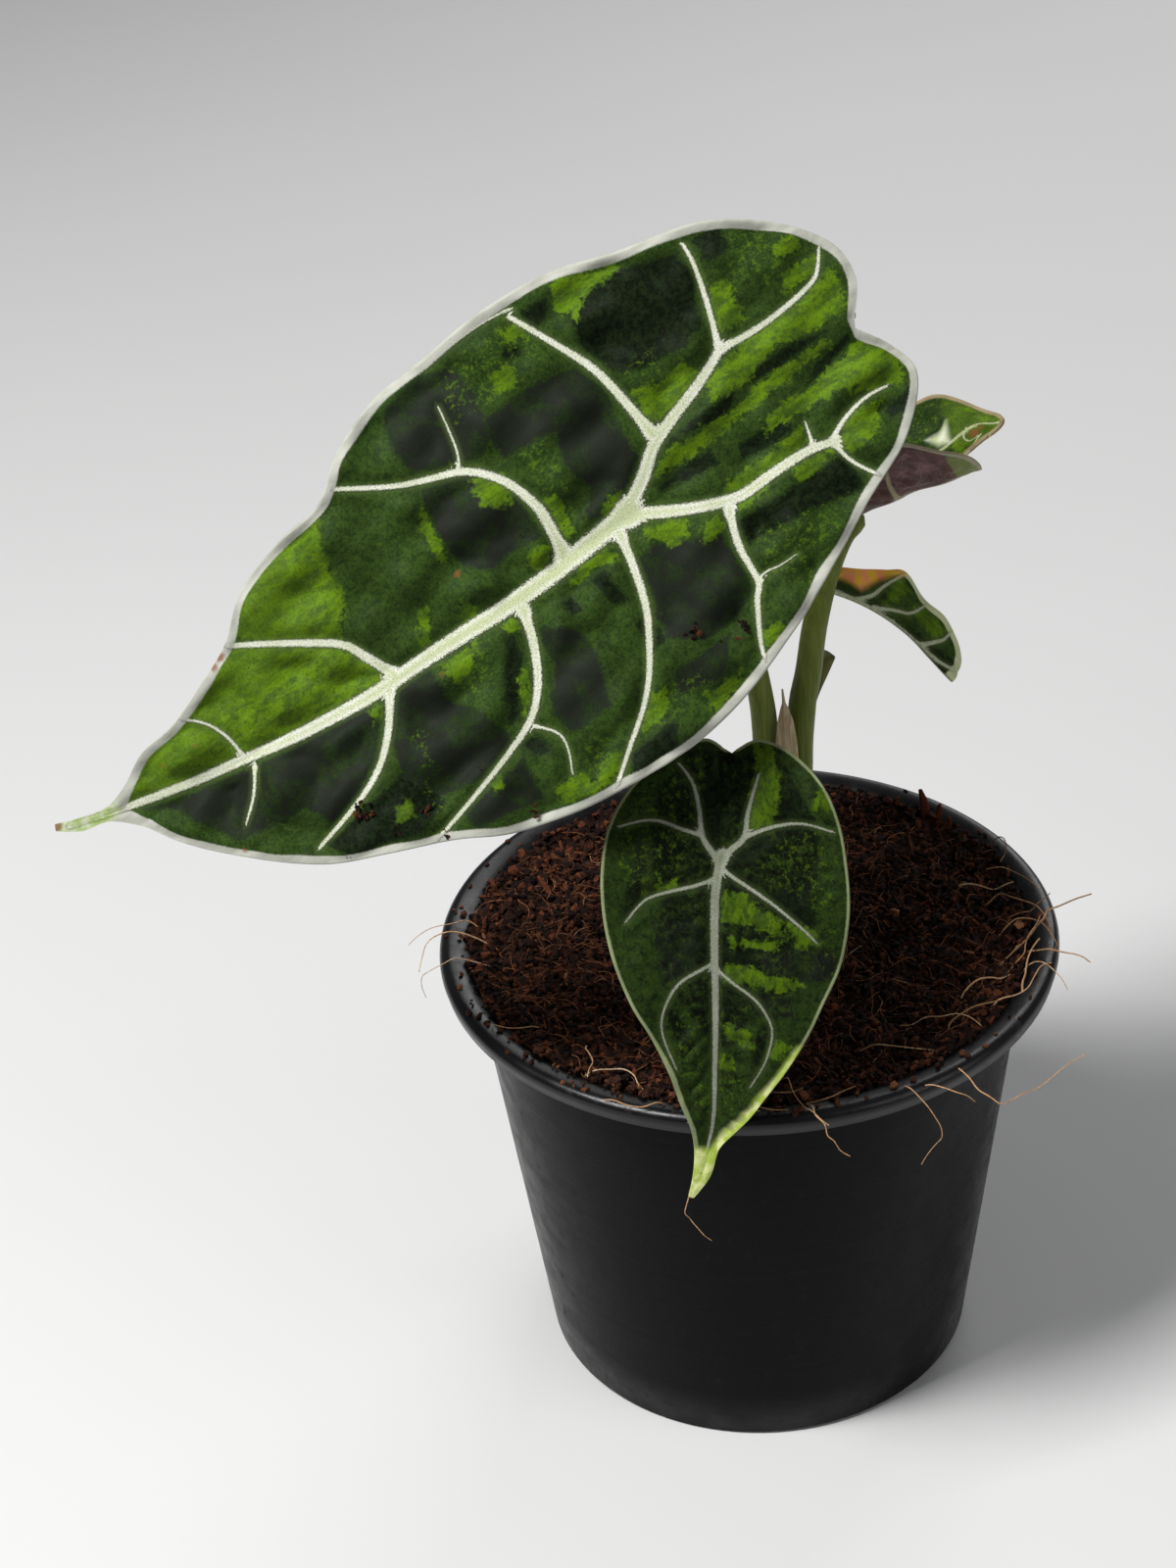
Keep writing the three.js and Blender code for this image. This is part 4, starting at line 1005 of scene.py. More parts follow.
# Veins: flat places and the full width at both ends
BIG_VEINS = [
    ([(-1, -0.8), (10, 0.4), (20, 1.5), (30, 2.1), (40, 2.1), (50, 2.3), (60, 2.7), (70, 2.2), (80, 1.3),
      (90, -0.2), (100, -1.6), (110, -3.5), (118, -5.2), (127, -7.4)], 4.3, 1.2),
    ([(89.3, -0.8), (89.7, -5.6), (91.6, -10), (95, -13.4)], 0.8, 0.5),
    ([(55, 1.3), (58, -5), (60.3, -9), (66, -13), (73, -17.2), (79.2, -20.6)], 2.1, 1.1),
    ([(14, -1.3), (13.5, -9.4), (14, -12.8), (16.4, -19), (21.7, -24.6), (29, -27.3), (35.4, -29.8),
      (45, -35.2)], 2.4, 0.9),
    ([(22.9, -25.2), (21, -29.2), (19.6, -37.8)], 0.6, 0.3),
    ([(0, -0.9), (-6.5, -5), (-11.8, -9.4), (-19.2, -12.5), (-25.6, -14.9), (-32.7, -18.4)], 3.0, 1.8),
    ([(-12.8, -11.5), (-11.1, -22.9), (-9.4, -29.2), (-6.4, -35.3), (-2.7, -42.4), (-1, -45.5)], 2.1, 0.9),
    ([(-32.4, -18.2), (-35.2, -26.9), (-36.9, -34.7), (-37.1, -39.2)], 1.4, 0.7),
    ([(-32.9, -18.4), (-39.8, -17.9), (-47.8, -18.5), (-55, -19.9), (-57.7, -22), (-59.7, -24.7)], 1.5, 0.6),
    ([(-0.6, -0.8), (-6.6, 2.6), (-13.8, 5.9), (-21.1, 8.1), (-28, 7.8), (-35, 7.6), (-39.5, 8.1),
      (-42.9, 9.1)], 2.7, 1.6),
    ([(-42.3, 8.5), (-46.4, 6.3), (-52.3, 4.9), (-56.9, 5.2)], 1.1, 0.5),
    ([(-38.3, 7.8), (-39.6, 2.9)], 0.9, 0.4),
    ([(-42.2, 9.4), (-43.3, 13.9), (-46.2, 18.9)], 1.1, 0.6),
    ([(-17.7, 9.4), (-15.7, 16.2), (-15.3, 24.1), (-13.4, 26.8), (-9.6, 34.1), (-8.6, 37.5)], 1.7, 0.8),
    ([(-15.4, 23.8), (-17.6, 23.3), (-20.4, 23.7), (-24, 23.5)], 0.6, 0.15),
    ([(2.8, 2.2), (4, 9.1), (6, 16.6), (9.1, 22.7), (12.8, 28.5), (17.4, 33.4), (23.6, 38.4),
      (29, 43)], 1.9, 0.8),
    ([(26.7, 4.6), (28.5, 11.2), (31.9, 18.1), (36.6, 23.1), (43.4, 26.3), (53.2, 29.9),
      (64.2, 33.4)], 2.1, 0.8),
    ([(36.9, 24.7), (33.6, 28.4), (33.6, 32.1), (35.4, 36.4)], 0.6, 0.35),
    ([(57.2, 3.4), (61.7, 10.2), (67.3, 15.6), (74.6, 19.2), (85.9, 22.7)], 1.8, 0.8),
    ([(88.4, 2.3), (91.6, 7.1), (95.8, 10.9)], 0.8, 0.4),
    ([(-2, -46.6), (4, -47.1), (12, -46.6), (18, -45.6)], 0.5, 0.4),
]
SMALL_VEINS = [
    ([(-0.5, 0.3), (7, -1.1), (19, -1.2), (31, -0.9), (42, -0.9), (55, -1.1), (66, -3.4)], 2.3, 0.5),
    ([(0.2, -0.2), (-1.7, -1.9), (-5, -3.9), (-9.9, -4.3), (-15.4, -5.6), (-19.1, -8.3)], 1.6, 0.5),
    ([(-5, -3.9), (-6.1, -7.8), (-7.8, -12.3), (-7.9, -15.9), (-6.8, -20.4)], 0.9, 0.4),
    ([(-0.2, 0), (-2.2, 2.5), (-4.5, 4.9), (-8.9, 5.6), (-12.3, 6.5), (-16.8, 7.9)], 1.6, 0.5),
    ([(-4.5, 4.9), (-6.2, 9.6), (-7.1, 14.3), (-6.9, 18), (-5.5, 22.7)], 0.9, 0.4),
    ([(2.1, 0.6), (4.1, 3.4), (8.7, 10.2), (14, 16.7), (16.6, 19.3)], 0.9, 0.4),
    ([(3.6, -0.7), (5.1, -4.7), (6.9, -12.8), (8.5, -16), (12.2, -19.1)], 0.9, 0.4),
    ([(20.9, -1.3), (22.1, -3.5), (24.4, -7.8), (27.2, -10.2), (31.6, -11.9), (36.2, -11.6),
      (43, -8.8)], 0.8, 0.3),
    ([(22.1, -0.9), (25.1, 2.7), (27.8, 6.5), (30.5, 8.9), (35, 10.8), (41, 9.6), (47, 6.6)], 0.7, 0.3),
]
CURLED_VEINS = [
    ([(-1, 0), (20, 0), (40, 0), (66, 0)], 2.0, 0.8),
    ([(0, 0), (-6, -4), (-14, -7), (-22, -8), (-30, -10)], 1.7, 0.7),
    ([(0, 0), (-6, 4), (-13, 8), (-21, 9), (-27, 11)], 1.7, 0.7),
    ([(-12, -6.4), (-12, -13), (-14, -20)], 1.2, 0.5),
    ([(-12, 7.4), (-13, 15), (-15, 22)], 1.2, 0.5),
    ([(4, 0), (6, -10), (10, -21)], 1.2, 0.5),
    ([(4, 0), (6, 10), (10, 21)], 1.2, 0.5),
    ([(22, 0), (26, -8), (32, -16)], 1.1, 0.5),
    ([(22, 0), (26, 8), (32, 16)], 1.1, 0.5),
    ([(-35.4, -8.6), (-32, -10.2), (-29, -10), (-27.5, -8.2), (-28.6, -6.2), (-31, -6.6)], 0.5, 0.4),
    ([(-31, -6.6), (-29.6, -4.4), (-27, 0), (-24.6, 3)], 0.45, 0.4),
]
DROOPING_VEINS = [
    ([(-3, 0.6), (10, 0), (20, -0.2), (30, 0.2), (35.5, 2.4)], 1.3, 0.6),
    ([(8, 0), (12, 2.8), (14.4, 6), (18.4, 11)], 1.0, 0.5),
    ([(13, 0.4), (18, 2.6), (22, 4.4), (25.3, 8.4)], 0.9, 0.4),
    ([(26, 0), (29, 3), (31.4, 5.6), (33, 8.6)], 0.9, 0.4),
    ([(2, 0.2), (2.6, 2.6), (4, 4.8)], 0.8, 0.4),
    ([(6, 0), (10, -5), (12, -10)], 0.8, 0.4),
    ([(18, 0), (23, -4), (25, -8.6)], 0.8, 0.4),
]

# Patches of colour: flat outlines of each kind; parts of them are painted shade and painted sheen
BIG_PATCHES = {
    "lime": [
        [(-57, -29.5), (-52, -30), (-51, -27.5), (-56, -27)],
        [(-58, -24), (-50, -24), (-49, -21), (-57, -21)],
        [(-41, -28), (-37, -30), (-35, -21), (-40, -21)],
        [(-25, -44), (-12, -47), (-9, -42), (-12, -37), (-16, -41), (-24, -42)],
        [(-25, -20.5), (-20, -18.5), (-14, -21), (-13, -13.5), (-18, -13.5), (-26, -16.5)],
        [(-60, -20), (-44, -17.6), (-34, -17), (-27, -14), (-26, -10.5), (-34, -10.5), (-42, -13),
         (-50, -11.8), (-58, -12)],
        [(-52, -9.4), (-36, -8.8), (-32, -7.6), (-24, -7), (-14, -7.2), (-9, -5.2), (-5, -3.4), (-12, -4),
         (-22, -4), (-33, -5.4), (-42, -6.6), (-52, -7.6)],
        [(-58, -6), (-50, -3.8), (-42, -2.4), (-38, -3.6), (-32, -1.6), (-32, 0.4), (-48, 0.6), (-60, 3),
         (-61, -1)],
        [(-2.5, -44.5), (2, -44), (2, -41), (-2, -41)],
        [(3, -38.5), (7.5, -38), (8, -34), (4, -33.5)],
        [(9.4, -12), (12, -12), (12, -3.4), (10, -3.8)],
        [(-1.6, -5.6), (2.8, -4.2), (3.4, -2.8), (-1, -2.6)],
        [(16, -21), (22, -23), (22.6, -17), (18, -14.6)],
        [(32.4, -24), (34.6, -22), (35.6, -14), (34.6, -11.4), (32.8, -16)],
        [(16, -4.4), (20, -4), (20, -0.8), (16.4, -1.2)],
        [(34, -3), (36.6, -3.4), (38, 0.2), (35, 0.4)],
        [(42.4, -6), (43.6, -6), (48, -0.6), (46, 0.4)],
        [(55.4, -30), (61, -31.6), (60, -22), (62, -12.4), (59.4, -11), (56.4, -14.6), (55, -22)],
        [(56.6, 0.8), (58.6, -5), (61.4, -9.6), (70, -15.6), (76, -10), (92, -9), (88, -1), (72, 0.6),
         (58, 1.6)],
        [(-62, 0), (-54, 0.6), (-50, 2.6), (-56, 5), (-60, 6)],
        [(-38, 3), (-30, 4.4), (-20, 4.4), (-18, 7.2), (-37, 6.8)],
        [(-55, 6.4), (-48, 5.8), (-43.6, 8.6), (-43.8, 11), (-45, 12.8), (-50, 12), (-53, 9)],
        [(-41.4, 9.6), (-33, 9), (-32, 12), (-38, 11.6)],
        [(-27, 8.8), (-20, 8.8), (-20, 10.2), (-27, 10)],
        [(-15, 33), (-10, 32), (-9, 36), (-14, 36)],
        [(-9, 6), (-2, 3), (-1, 4.6), (-5, 10), (-9, 9)],
        [(-15.6, 9.2), (-11, 9.4), (-10, 12.4), (-14.6, 11.6)],
        [(-3, 36.6), (5, 37), (5, 41), (-3, 40)],
        [(5.4, 2.4), (9, 2.6), (16, 3.4), (16, 5.4), (9, 5.2), (6, 6)],
        [(11, 32), (15, 32), (20, 36.6), (14, 37)],
        [(25.5, 38), (27.6, 37.6), (33, 41), (31, 42.6), (27, 41)],
        [(37.6, 4.8), (46.4, 5.6), (45.4, 9.6), (41, 8.4)],
        [(29.6, 4.4), (32, 4.6), (31, 6.8), (29.4, 6.6)],
        [(31.6, 13.6), (34.4, 14.6), (38, 22), (36.4, 21.6)],
        [(34, 37.6), (40, 37.6), (40, 41), (33, 42)],
        [(47.6, 29.4), (50, 29.6), (50, 31.4), (48, 31.2)],
        [(60.4, 4.6), (63, 4.6), (63, 7), (61, 7)],
    ],
    "fleck": [
        [(-54, -35), (-45, -38), (-40, -30), (-46, -22), (-54, -26)],
        [(-23, -27), (-13, -27), (-13, -19), (-22, -19)],
        [(-5, -45.5), (8, -46), (19, -43), (20, -31), (6, -32), (-4, -34)],
        [(4, -23), (13, -24), (12, -4), (8, -4), (5, -10)],
        [(-43, 18), (-30, 16), (-17, 14), (-17, 24), (-22, 32), (-36, 24)],
        [(2, 31), (11, 30), (20, 37), (12, 40), (0, 40)],
        [(24, 32), (31, 31), (35, 38), (33, 42), (25, 41)],
        [(34, 4.4), (47, 4.4), (47, 10), (44.6, 15), (38, 14.4), (34.6, 8)],
        [(54.4, 12), (60, 12), (61, 23), (56, 26)],
        [(91.6, 15.4), (98, 12.6), (100, 14.6), (93, 18.6)],
        [(59, 21), (64, 21), (64, 30), (59, 31)],
    ],
    # Many of the big leaf's dark outlines lie along creases and folds and are painted shade there; the others
    # are its own dark colour.
    "dark": [
        [(-45, -39), (-39, -39), (-39, -33), (-44, -34)],
        [(-35, -39), (-24, -42), (-11, -42), (-10, -32), (-14, -24), (-27, -22), (-32, -24), (-36, -33)],
        [(-53, -10.4), (-45, -12.2), (-37, -12), (-33, -10.2), (-40, -9.2), (-50, -9.8)],
        [(-31, -10.6), (-24, -9.8), (-15, -8.8), (-13, -7.6), (-28, -7.4)],
        [(-56, -8.2), (-48, -6.4), (-43, -3), (-50, -4.2), (-55, -6.6)],
        [(-21, -3.2), (-9, -2.6), (-8, -0.6), (-21, 0.4)],
        [(-37, -0.6), (-27, -0.8), (-24, 2.6), (-36, 2.8)],
        [(-0.5, -39), (2.6, -41), (5, -38.6), (1.6, -36.8)],
        [(-9, -45), (-3, -45), (-4, -40.5), (-9, -41.5)],
        [(-9, -23), (-6, -28.4), (4, -29.6), (4, -25), (-4, -22)],
        [(24, -42), (30, -42), (31, -31), (24, -29)],
        [(27, -24), (31.4, -25), (33, -18), (31, -12), (28, -14)],
        [(-60.4, 8), (-55, 8.6), (-54, 11), (-58, 11.4)],
        [(-43, 12), (-30, 12), (-18, 12), (-17.6, 17), (-30, 18), (-43, 20)],
        [(-3, 18.6), (5, 18.6), (6, 22), (-2, 21.6)],
        [(6, 18), (9, 18), (10, 25), (6, 24)],
        [(9, 6), (12.6, 6), (11, 13), (8, 14)],
        [(17.6, 7), (20.6, 7), (19, 10.6), (17, 10)],
        [(13, 38.6), (24, 39), (25, 43), (15, 43)],
        [(30.4, 7), (33, 7), (38, 15), (41, 22), (38, 21.6), (32, 12.6)],
        [(48, 7), (51, 7), (50.6, 16), (47.6, 16)],
        [(37.6, 25.6), (42, 26), (40, 30), (36, 31)],
        [(84.6, 4), (87, 4), (92, 13), (89, 15), (86, 10)],
        [(61, 18), (70, 20), (84, 23), (80, 28), (66, 31), (60, 28)],
    ],
    # The slate outlines are greyish dark green, partly painted sheen.
    "slate": [
        [(-9, -24), (-7, -30), (2, -32), (14, -31), (14, -23), (4, -22), (-2, -20), (-9, -20)],
        [(-8, -21), (3, -22), (5, -15), (3, -9), (7, -3.6), (0, -3.4), (-8, -9)],
        [(13, -43), (20, -45), (29, -43), (31.5, -36), (31, -30), (24, -27.5), (18, -25.4), (14, -28),
         (12, -36)],
        [(16, -15), (20, -16), (21, -24), (31, -26), (33, -18), (32, -9), (27, -5), (23, -7), (16, -6)],
        [(-14, 12), (-8, 10), (-2, 7), (2.4, 8), (4, 16), (6, 24), (0, 28), (-8, 28), (-13, 25), (-14, 18)],
        [(-5, 30), (8, 30), (10, 35), (0, 36)],
        [(20, 12), (26, 9), (27, 16), (32, 24), (31, 30), (22, 29), (19, 20)],
        [(48.6, 4.4), (57, 5), (62, 12), (64, 20), (60, 27), (52, 28), (42, 25), (44, 17), (48, 12)],
        [(42, 29), (58, 32), (57, 36), (43, 38)],
        [(62.6, 4), (74, 3.6), (87, 2.6), (90, 8), (91, 14), (84, 14), (81, 20), (74, 18), (67, 14),
         (62.6, 8)],
        [(88.6, 2), (104, 0), (112, -2.4), (107, 1), (102, 8), (99, 13), (92, 14)],
    ],
    "glow": [
        [(50, -33), (60, -33), (71.5, -28.5), (79, -22), (73, -18), (66, -13.6), (60, -10.4), (55.6, -16),
         (54, -24)],
        [(56, 1.6), (59, -6), (62, -10), (73, -17.4), (79, -21), (88, -17.5), (97, -14), (106, -12),
         (113, -8), (115, -5), (104, -2.6), (88, -0.5), (72, 1.5)],
        [(65.8, 24.2), (68.2, 24), (69, 26), (66.4, 26.6)],
    ],
    "drip": [
        [(115.4, -7), (120, -8), (131, -10.6), (131, -7), (122, -3), (116.4, -4)],
    ],
}
SMALL_PATCHES = {
    "dark": [
        [(-22, -6), (-14, -13), (-2, -15), (8, -12), (16, -13), (24, -11), (30, -7), (38, -2), (38, 3),
         (30, 7), (26, 15), (14, 19), (-4, 20), (-12, 17), (-20, 12), (-22, 4)],
        [(-6, -16), (4, -19), (12, -20), (10, -17), (0, -15)],
        [(30, -12), (40, -7.5), (38, -5), (30, -9)],
        [(33, 11), (42, 8), (40, 6), (34, 8)],
    ],
    "fleck": [
        [(-24, -4), (-16, -16), (-4, -22), (4, -23), (10, -14), (2, -6), (-10, -3), (-20, 0)],
        [(2, 4), (8, 12), (14, 24), (0, 25), (-8, 20), (-6, 12)],
        [(8, 3), (14, 3), (20, 16), (16, 21), (12, 17), (9, 9)],
        [(20, 1), (27, 1), (29, 12), (27, 18), (22, 14)],
        [(42, -8), (54, -6), (54, 5), (44, 8)],
        [(10, 20), (24, 19), (26, 24), (10, 26)],
        [(1, -15), (8, -17), (8, -7), (2, -6)],
        [(28, -14), (49, -8), (49, -2), (28, -3)],
    ],
    "lime": [
        [(-23, 7), (-17, 7), (-12, 6), (-6, 6), (-6, 11), (-14, 12), (-20, 11), (-23, 10)],
        [(-14, 19), (-10, 19), (-10, 22.5), (-13, 21.5)],
        [(6, 0.6), (12, 0.6), (13.4, 6), (15, 12), (12.4, 12), (9, 7), (6.4, 4)],
        [(12.4, 13), (14.6, 14), (18, 17), (17.4, 20), (14, 19)],
        [(15.8, 2), (17.6, 2), (18.4, 12), (16.6, 12)],
        [(21, 1), (24.6, 1), (25, 6), (26.4, 12), (25.4, 17), (23.4, 12)],
        [(33.6, 1.4), (36, 1.6), (38.5, 7), (35.6, 6.6)],
        [(41, 0), (43, 0), (43, 3), (41, 3)],
        [(37, 12), (40, 10), (41, 12.4), (38, 15)],
        [(4, -12.6), (6, -12.6), (6, -9), (4, -9)],
    ],
    "slate": [
        [(17, 8), (25, 9), (25, 23), (18, 24)],
        [(27, 7), (32, 7), (32, 15), (28, 15)],
        [(12, -14), (25, -12), (25, -6), (12, -4)],
    ],
    "drip": [
        [(60, -5.2), (66, -6), (73, -7), (73, -3.6), (66, -1), (61, 1)],
        [(38, 17.6), (46, 12.8), (52.5, 8.6), (57, 4.8), (62, 1.4), (62, -2.6), (57, 1.0), (52.5, 5.0),
         (46, 10.4), (38, 16)],
    ],
}
CURLED_PATCHES = {
    "fleck": [
        [(-27, -21.5), (-24.5, -13), (-20, -8), (-12, -6), (-12, -20)],
    ],
    # On the curled leaf's underside the glow outlines carry a painted pinkish sheen.
    "glow": [
        [(-37, -8), (-33, -13.5), (-26, -18), (-24, -12), (-27, -4), (-32, -4)],
        [(-8, 16.4), (-24, 15.8), (-25, 19), (-20, 21.4), (-8, 21)],
    ],
    "lime": [
        [(-36.5, -9), (-34, -12.5), (-30, -14), (-32, -10.6), (-35.4, -8.6)],
        [(-25.4, -9), (-28, -6), (-27, 0), (-24, 2), (-24, -5)],
    ],
    "slate": [
        [(-26.6, 22), (-25.6, 9), (-34, 7), (-34, 19)],
    ],
    "drip": [
        [(-25.0, -14), (-24.4, -8.6), (-21.6, -9.4), (-19.2, -12.2), (-22.4, -11.8)],
    ],
}
DROOPING_PATCHES = {
    "dark": [
        [(-4, -11), (36, -9), (36, 4), (30, 2.6), (24, 1.6), (18, 0.8), (12, 2.8), (6, 1.8), (-4, 4)],
    ],
    "fleck": [
        [(4, 1), (20, 1), (20, 6), (6, 5)],
    ],
    "glow": [
        [(15, 2.6), (18, 4), (21, 9), (18, 10), (16, 7)],
        [(24, 4), (29, 4), (32, 8), (26, 8.4), (23, 6)],
    ],
    "drip": [
        [(-5, 2.8), (2.4, 3.4), (6.5, 3.2), (9.2, 2.6), (11, 4.4), (13, 6.6), (16, 9), (19.6, 11.6), (18, 14),
         (13, 11), (6, 8), (-3, 6)],
    ],
}
# Rust spots: flat place and radius
CURLED_RUST = [
    (-29.8, -8, 1.1), (-31.6, -8.9, 0.6),
]
BIG_RUST = [
    (95.5, -7.5, 0.35), (103.5, -7.5, 0.4), (82, -19.7, 1.0), (84, -18.5, 0.9), (34, -8.6, 0.7),
    (129.2, -8.8, 1.3), (47, 6.5, 0.3), (80, -22.6, 0.5), (98.8, 15.2, 0.5),
]
LEAF_THICKNESS = 0.7
PATCH_KINDS = ("lime", "glow", "dark", "slate", "fleck", "drip")
FAR_OUTSIDE, NO_RUST, NO_VEIN = -20.0, -5.0, 30.0


def off_leaf(leaf, a, b, relief=0.0):
    """Points of the bent leaf, in millimetres, for flat places a and b."""
    tipward = np.array(leaf["tipward"]) / np.linalg.norm(leaf["tipward"])
    face = np.array(leaf["face"]) - tipward * np.dot(leaf["face"], tipward)
    face /= np.linalg.norm(face)
    sideways = np.cross(face, tipward)
    arch = np.where(a > 0, *leaf["arch"])
    out = np.abs(b)
    halves = []
    for fold, curl, wave, length, start in (leaf["left"], leaf["right"]):
        fold, curl = pairs_at(fold, a), pairs_at(curl, a)
        across = (np.sin(fold + curl * out) - np.sin(fold)) / curl
        rise = (np.cos(fold) - np.cos(fold + curl * out)) / curl
        rise = rise + wave * np.sin(2 * math.pi * (a - start) / length) * (out / leaf["half"]) ** 2
        halves.append((across, rise))
    across = np.where(b < 0, -halves[0][0], halves[1][0])
    rise = np.where(b < 0, halves[0][1], halves[1][1])
    height, length = leaf["pucker"]
    panel = np.sin(math.pi * (a - 0.5 * out) / length) ** 2
    rise = rise + height * (panel - 0.5) * np.sin(math.pi * np.minimum(out / leaf["half"], 1)) + relief
    up = face * np.cos(arch * a)[..., None] + tipward * np.sin(arch * a)[..., None]
    return (np.array(leaf["hub"]) + tipward * (np.sin(arch * a) / arch)[..., None]
            - face * ((1 - np.cos(arch * a)) / arch)[..., None]
            + sideways * (across + leaf["sweep"] * a * a)[..., None] + up * rise[..., None])


def off_leaf_normal(leaf, a, b, step):
    """Points of the bent leaf and the way its upper side faces there, of length 1."""
    spot = off_leaf(leaf, a, b)
    normal = np.cross(off_leaf(leaf, a + step, b) - spot, off_leaf(leaf, a, b + step) - spot)
    return spot, normal / np.linalg.norm(normal, axis=1, keepdims=True)


def line_distance(a, b, line):
    """Distance from flat places to a line, how far along it is nearest, and the side it is on, 1 or -1."""
    best = np.full(np.shape(a), 1e9)
    along = np.zeros(np.shape(a))
    hand = np.ones(np.shape(a))
    count = len(line) - 1
    for k, (p, q) in enumerate(zip(line, line[1:])):
        dx, dy = q[0] - p[0], q[1] - p[1]
        t = np.clip(((a - p[0]) * dx + (b - p[1]) * dy) / max(dx * dx + dy * dy, 1e-9), 0, 1)
        d = np.hypot(a - p[0] - t * dx, b - p[1] - t * dy)
        near = d < best
        best = np.where(near, d, best)
        along = np.where(near, (k + t) / count, along)
        hand = np.where(near, np.where((a - p[0]) * dy > (b - p[1]) * dx, 1.0, -1.0), hand)
    return best, along, hand


def inside_depth(a, b, outline):
    """Depth inside a flat outline, negative outside."""
    ring = list(outline) + [outline[0]]
    depth = line_distance(a, b, ring)[0]
    crossings = np.zeros(np.shape(a), int)
    for p, q in zip(ring, ring[1:]):
        spans = (p[1] > b) != (q[1] > b)
        rise = (q[1] - p[1]) if q[1] != p[1] else 1e-9
        crossings += spans & (a < p[0] + (b - p[1]) * (q[0] - p[0]) / rise)
    return np.where(crossings % 2 == 1, depth, -depth)


def vein_field(a, b, veins):
    """Distance to the edge of the nearest vein, its signed distance from the middle, and half width."""
    edge, side, half = (np.full(np.shape(a), NO_VEIN) for _ in range(3))
    for points, wide, narrow in veins:
        line = smooth_line(points, np.linspace(0, 1, 3 * len(points)))
        d, along, hand = line_distance(a, b, line)
        flare = 1 + 0.5 * np.exp(-((along * (len(points) - 1)) / 0.28) ** 2)
        width = 0.5 * (wide + (narrow - wide) * along) * flare
        near = d - width < edge
        edge = np.where(near, d - width, edge)
        side = np.where(near, d * hand, side)
        half = np.where(near, width, half)
    return edge, side, half


def wrinkles(leaf, a, b, vein, edge):
    """Height of the veins' furrows, the wrinkles and the folds, calm by veins and margin."""
    calm = fade(vein, 0.2, 4.0) * fade(edge, 0.0, 3.0)
    coarse, fine = leaf["creases"]
    relief = -leaf["sag"] * np.exp(-(np.maximum(vein, 0) / 1.5) ** 2) * fade(edge, 0.5, 3.0)
    relief = relief + calm * (coarse * ripple(21, 11.0, a, b) + fine * ripple(22, 4.2, a, b))
    high, length, reach = leaf["quilt"]
    folds = np.sin(2 * math.pi * (a - 0.7 * np.abs(b)) / length + 1.1 * ripple(23, 2.5 * length, a, b))
    return relief + calm * high * folds * np.exp(-(b / reach) ** 2) * fade(a, 0, 14)


def leaf_blade(name, leaf, rows, columns, veins, patches, finishes, node, rust=()):
    """A blade as one bent sheet: veins sunk in its upper side, wrinkles between them."""
    spine, left, right = (np.array(leaf[key], float) for key in ("spine", "left_margin", "right_margin"))
    t = np.linspace(0, 1, 90)
    outline = np.vstack([smooth_line(left, t)[::-1], smooth_line(right, t)])
    kept = {}

    def shape(u, v):
        side = (2 * v - 1)[:, None]
        middle = smooth_line(spine, u)
        margin = np.where(side < 0, smooth_line(left, u), smooth_line(right, u))
        a, b = (middle + (margin - middle) * np.abs(side)).T
        vein, side, half = vein_field(a, b, veins)
        edge = line_distance(a, b, outline)[0]
        kept.update(a=a, b=b, vein=vein, edge=edge, side=side, half=half)
        return off_leaf(leaf, a, b, wrinkles(leaf, a, b, vein, edge))

    def fields(u, v):
        a, b = kept["a"], kept["b"]
        found = {kind: np.full(a.shape, FAR_OUTSIDE) for kind in PATCH_KINDS}
        for kind, outlines in patches.items():
            for patch in outlines:
                found[kind] = np.maximum(found[kind], inside_depth(a, b, patch))
        for key in ("vein", "side", "half"):
            found[key] = kept[key]
        found["rust"] = np.full(a.shape, NO_RUST)
        for x, y, r in rust:
            found["rust"] = np.maximum(found["rust"], r - np.hypot(a - x, b - y))
        found["rim"] = kept["edge"] - pairs_at(leaf["band"], a)
        found["flat"] = np.stack([a, b, 0 * a], -1)
        return found

    mesh = bent_grid(name, rows, columns, shape, fields=fields)
    piece = add_piece(name, mesh, finishes, [node])
    sheet = piece.modifiers.new("thickness", "SOLIDIFY")
    sheet.thickness = LEAF_THICKNESS * MM
    sheet.offset = 0
    sheet.material_offset = 1


# Ribs under the blades: half thickness as a share of the vein's width, and the thinnest vein with a rib
RIB_SHARE, RIB_FROM = 0.36, 0.8


def leaf_ribs(name, leaf, veins, finish, drop):
    """The raised ribs under a blade, set below its middle by drop and a little more."""
    meshes = []
    for k, (points, wide, narrow) in enumerate(veins):
        if wide < RIB_FROM:
            continue
        line = smooth_line(points, np.linspace(0, 1, 5 * len(points)))
        top, normal = off_leaf_normal(leaf, line[:, 0], line[:, 1], 0.05)
        thick, thin = RIB_SHARE * wide, RIB_SHARE * narrow * 0.8
        half = np.linspace(thick, thin, len(line))[:, None]
        path = StemPath(top - normal * (drop + 0.6 * half), fine=2)
        size = [[0, thick], [1, thin]]
        meshes.append(stem_mesh("rib", path, size, size, 8, 3 * len(points), 0.02, 60 + k))
    add_piece(name, joined(name, meshes), [finish])


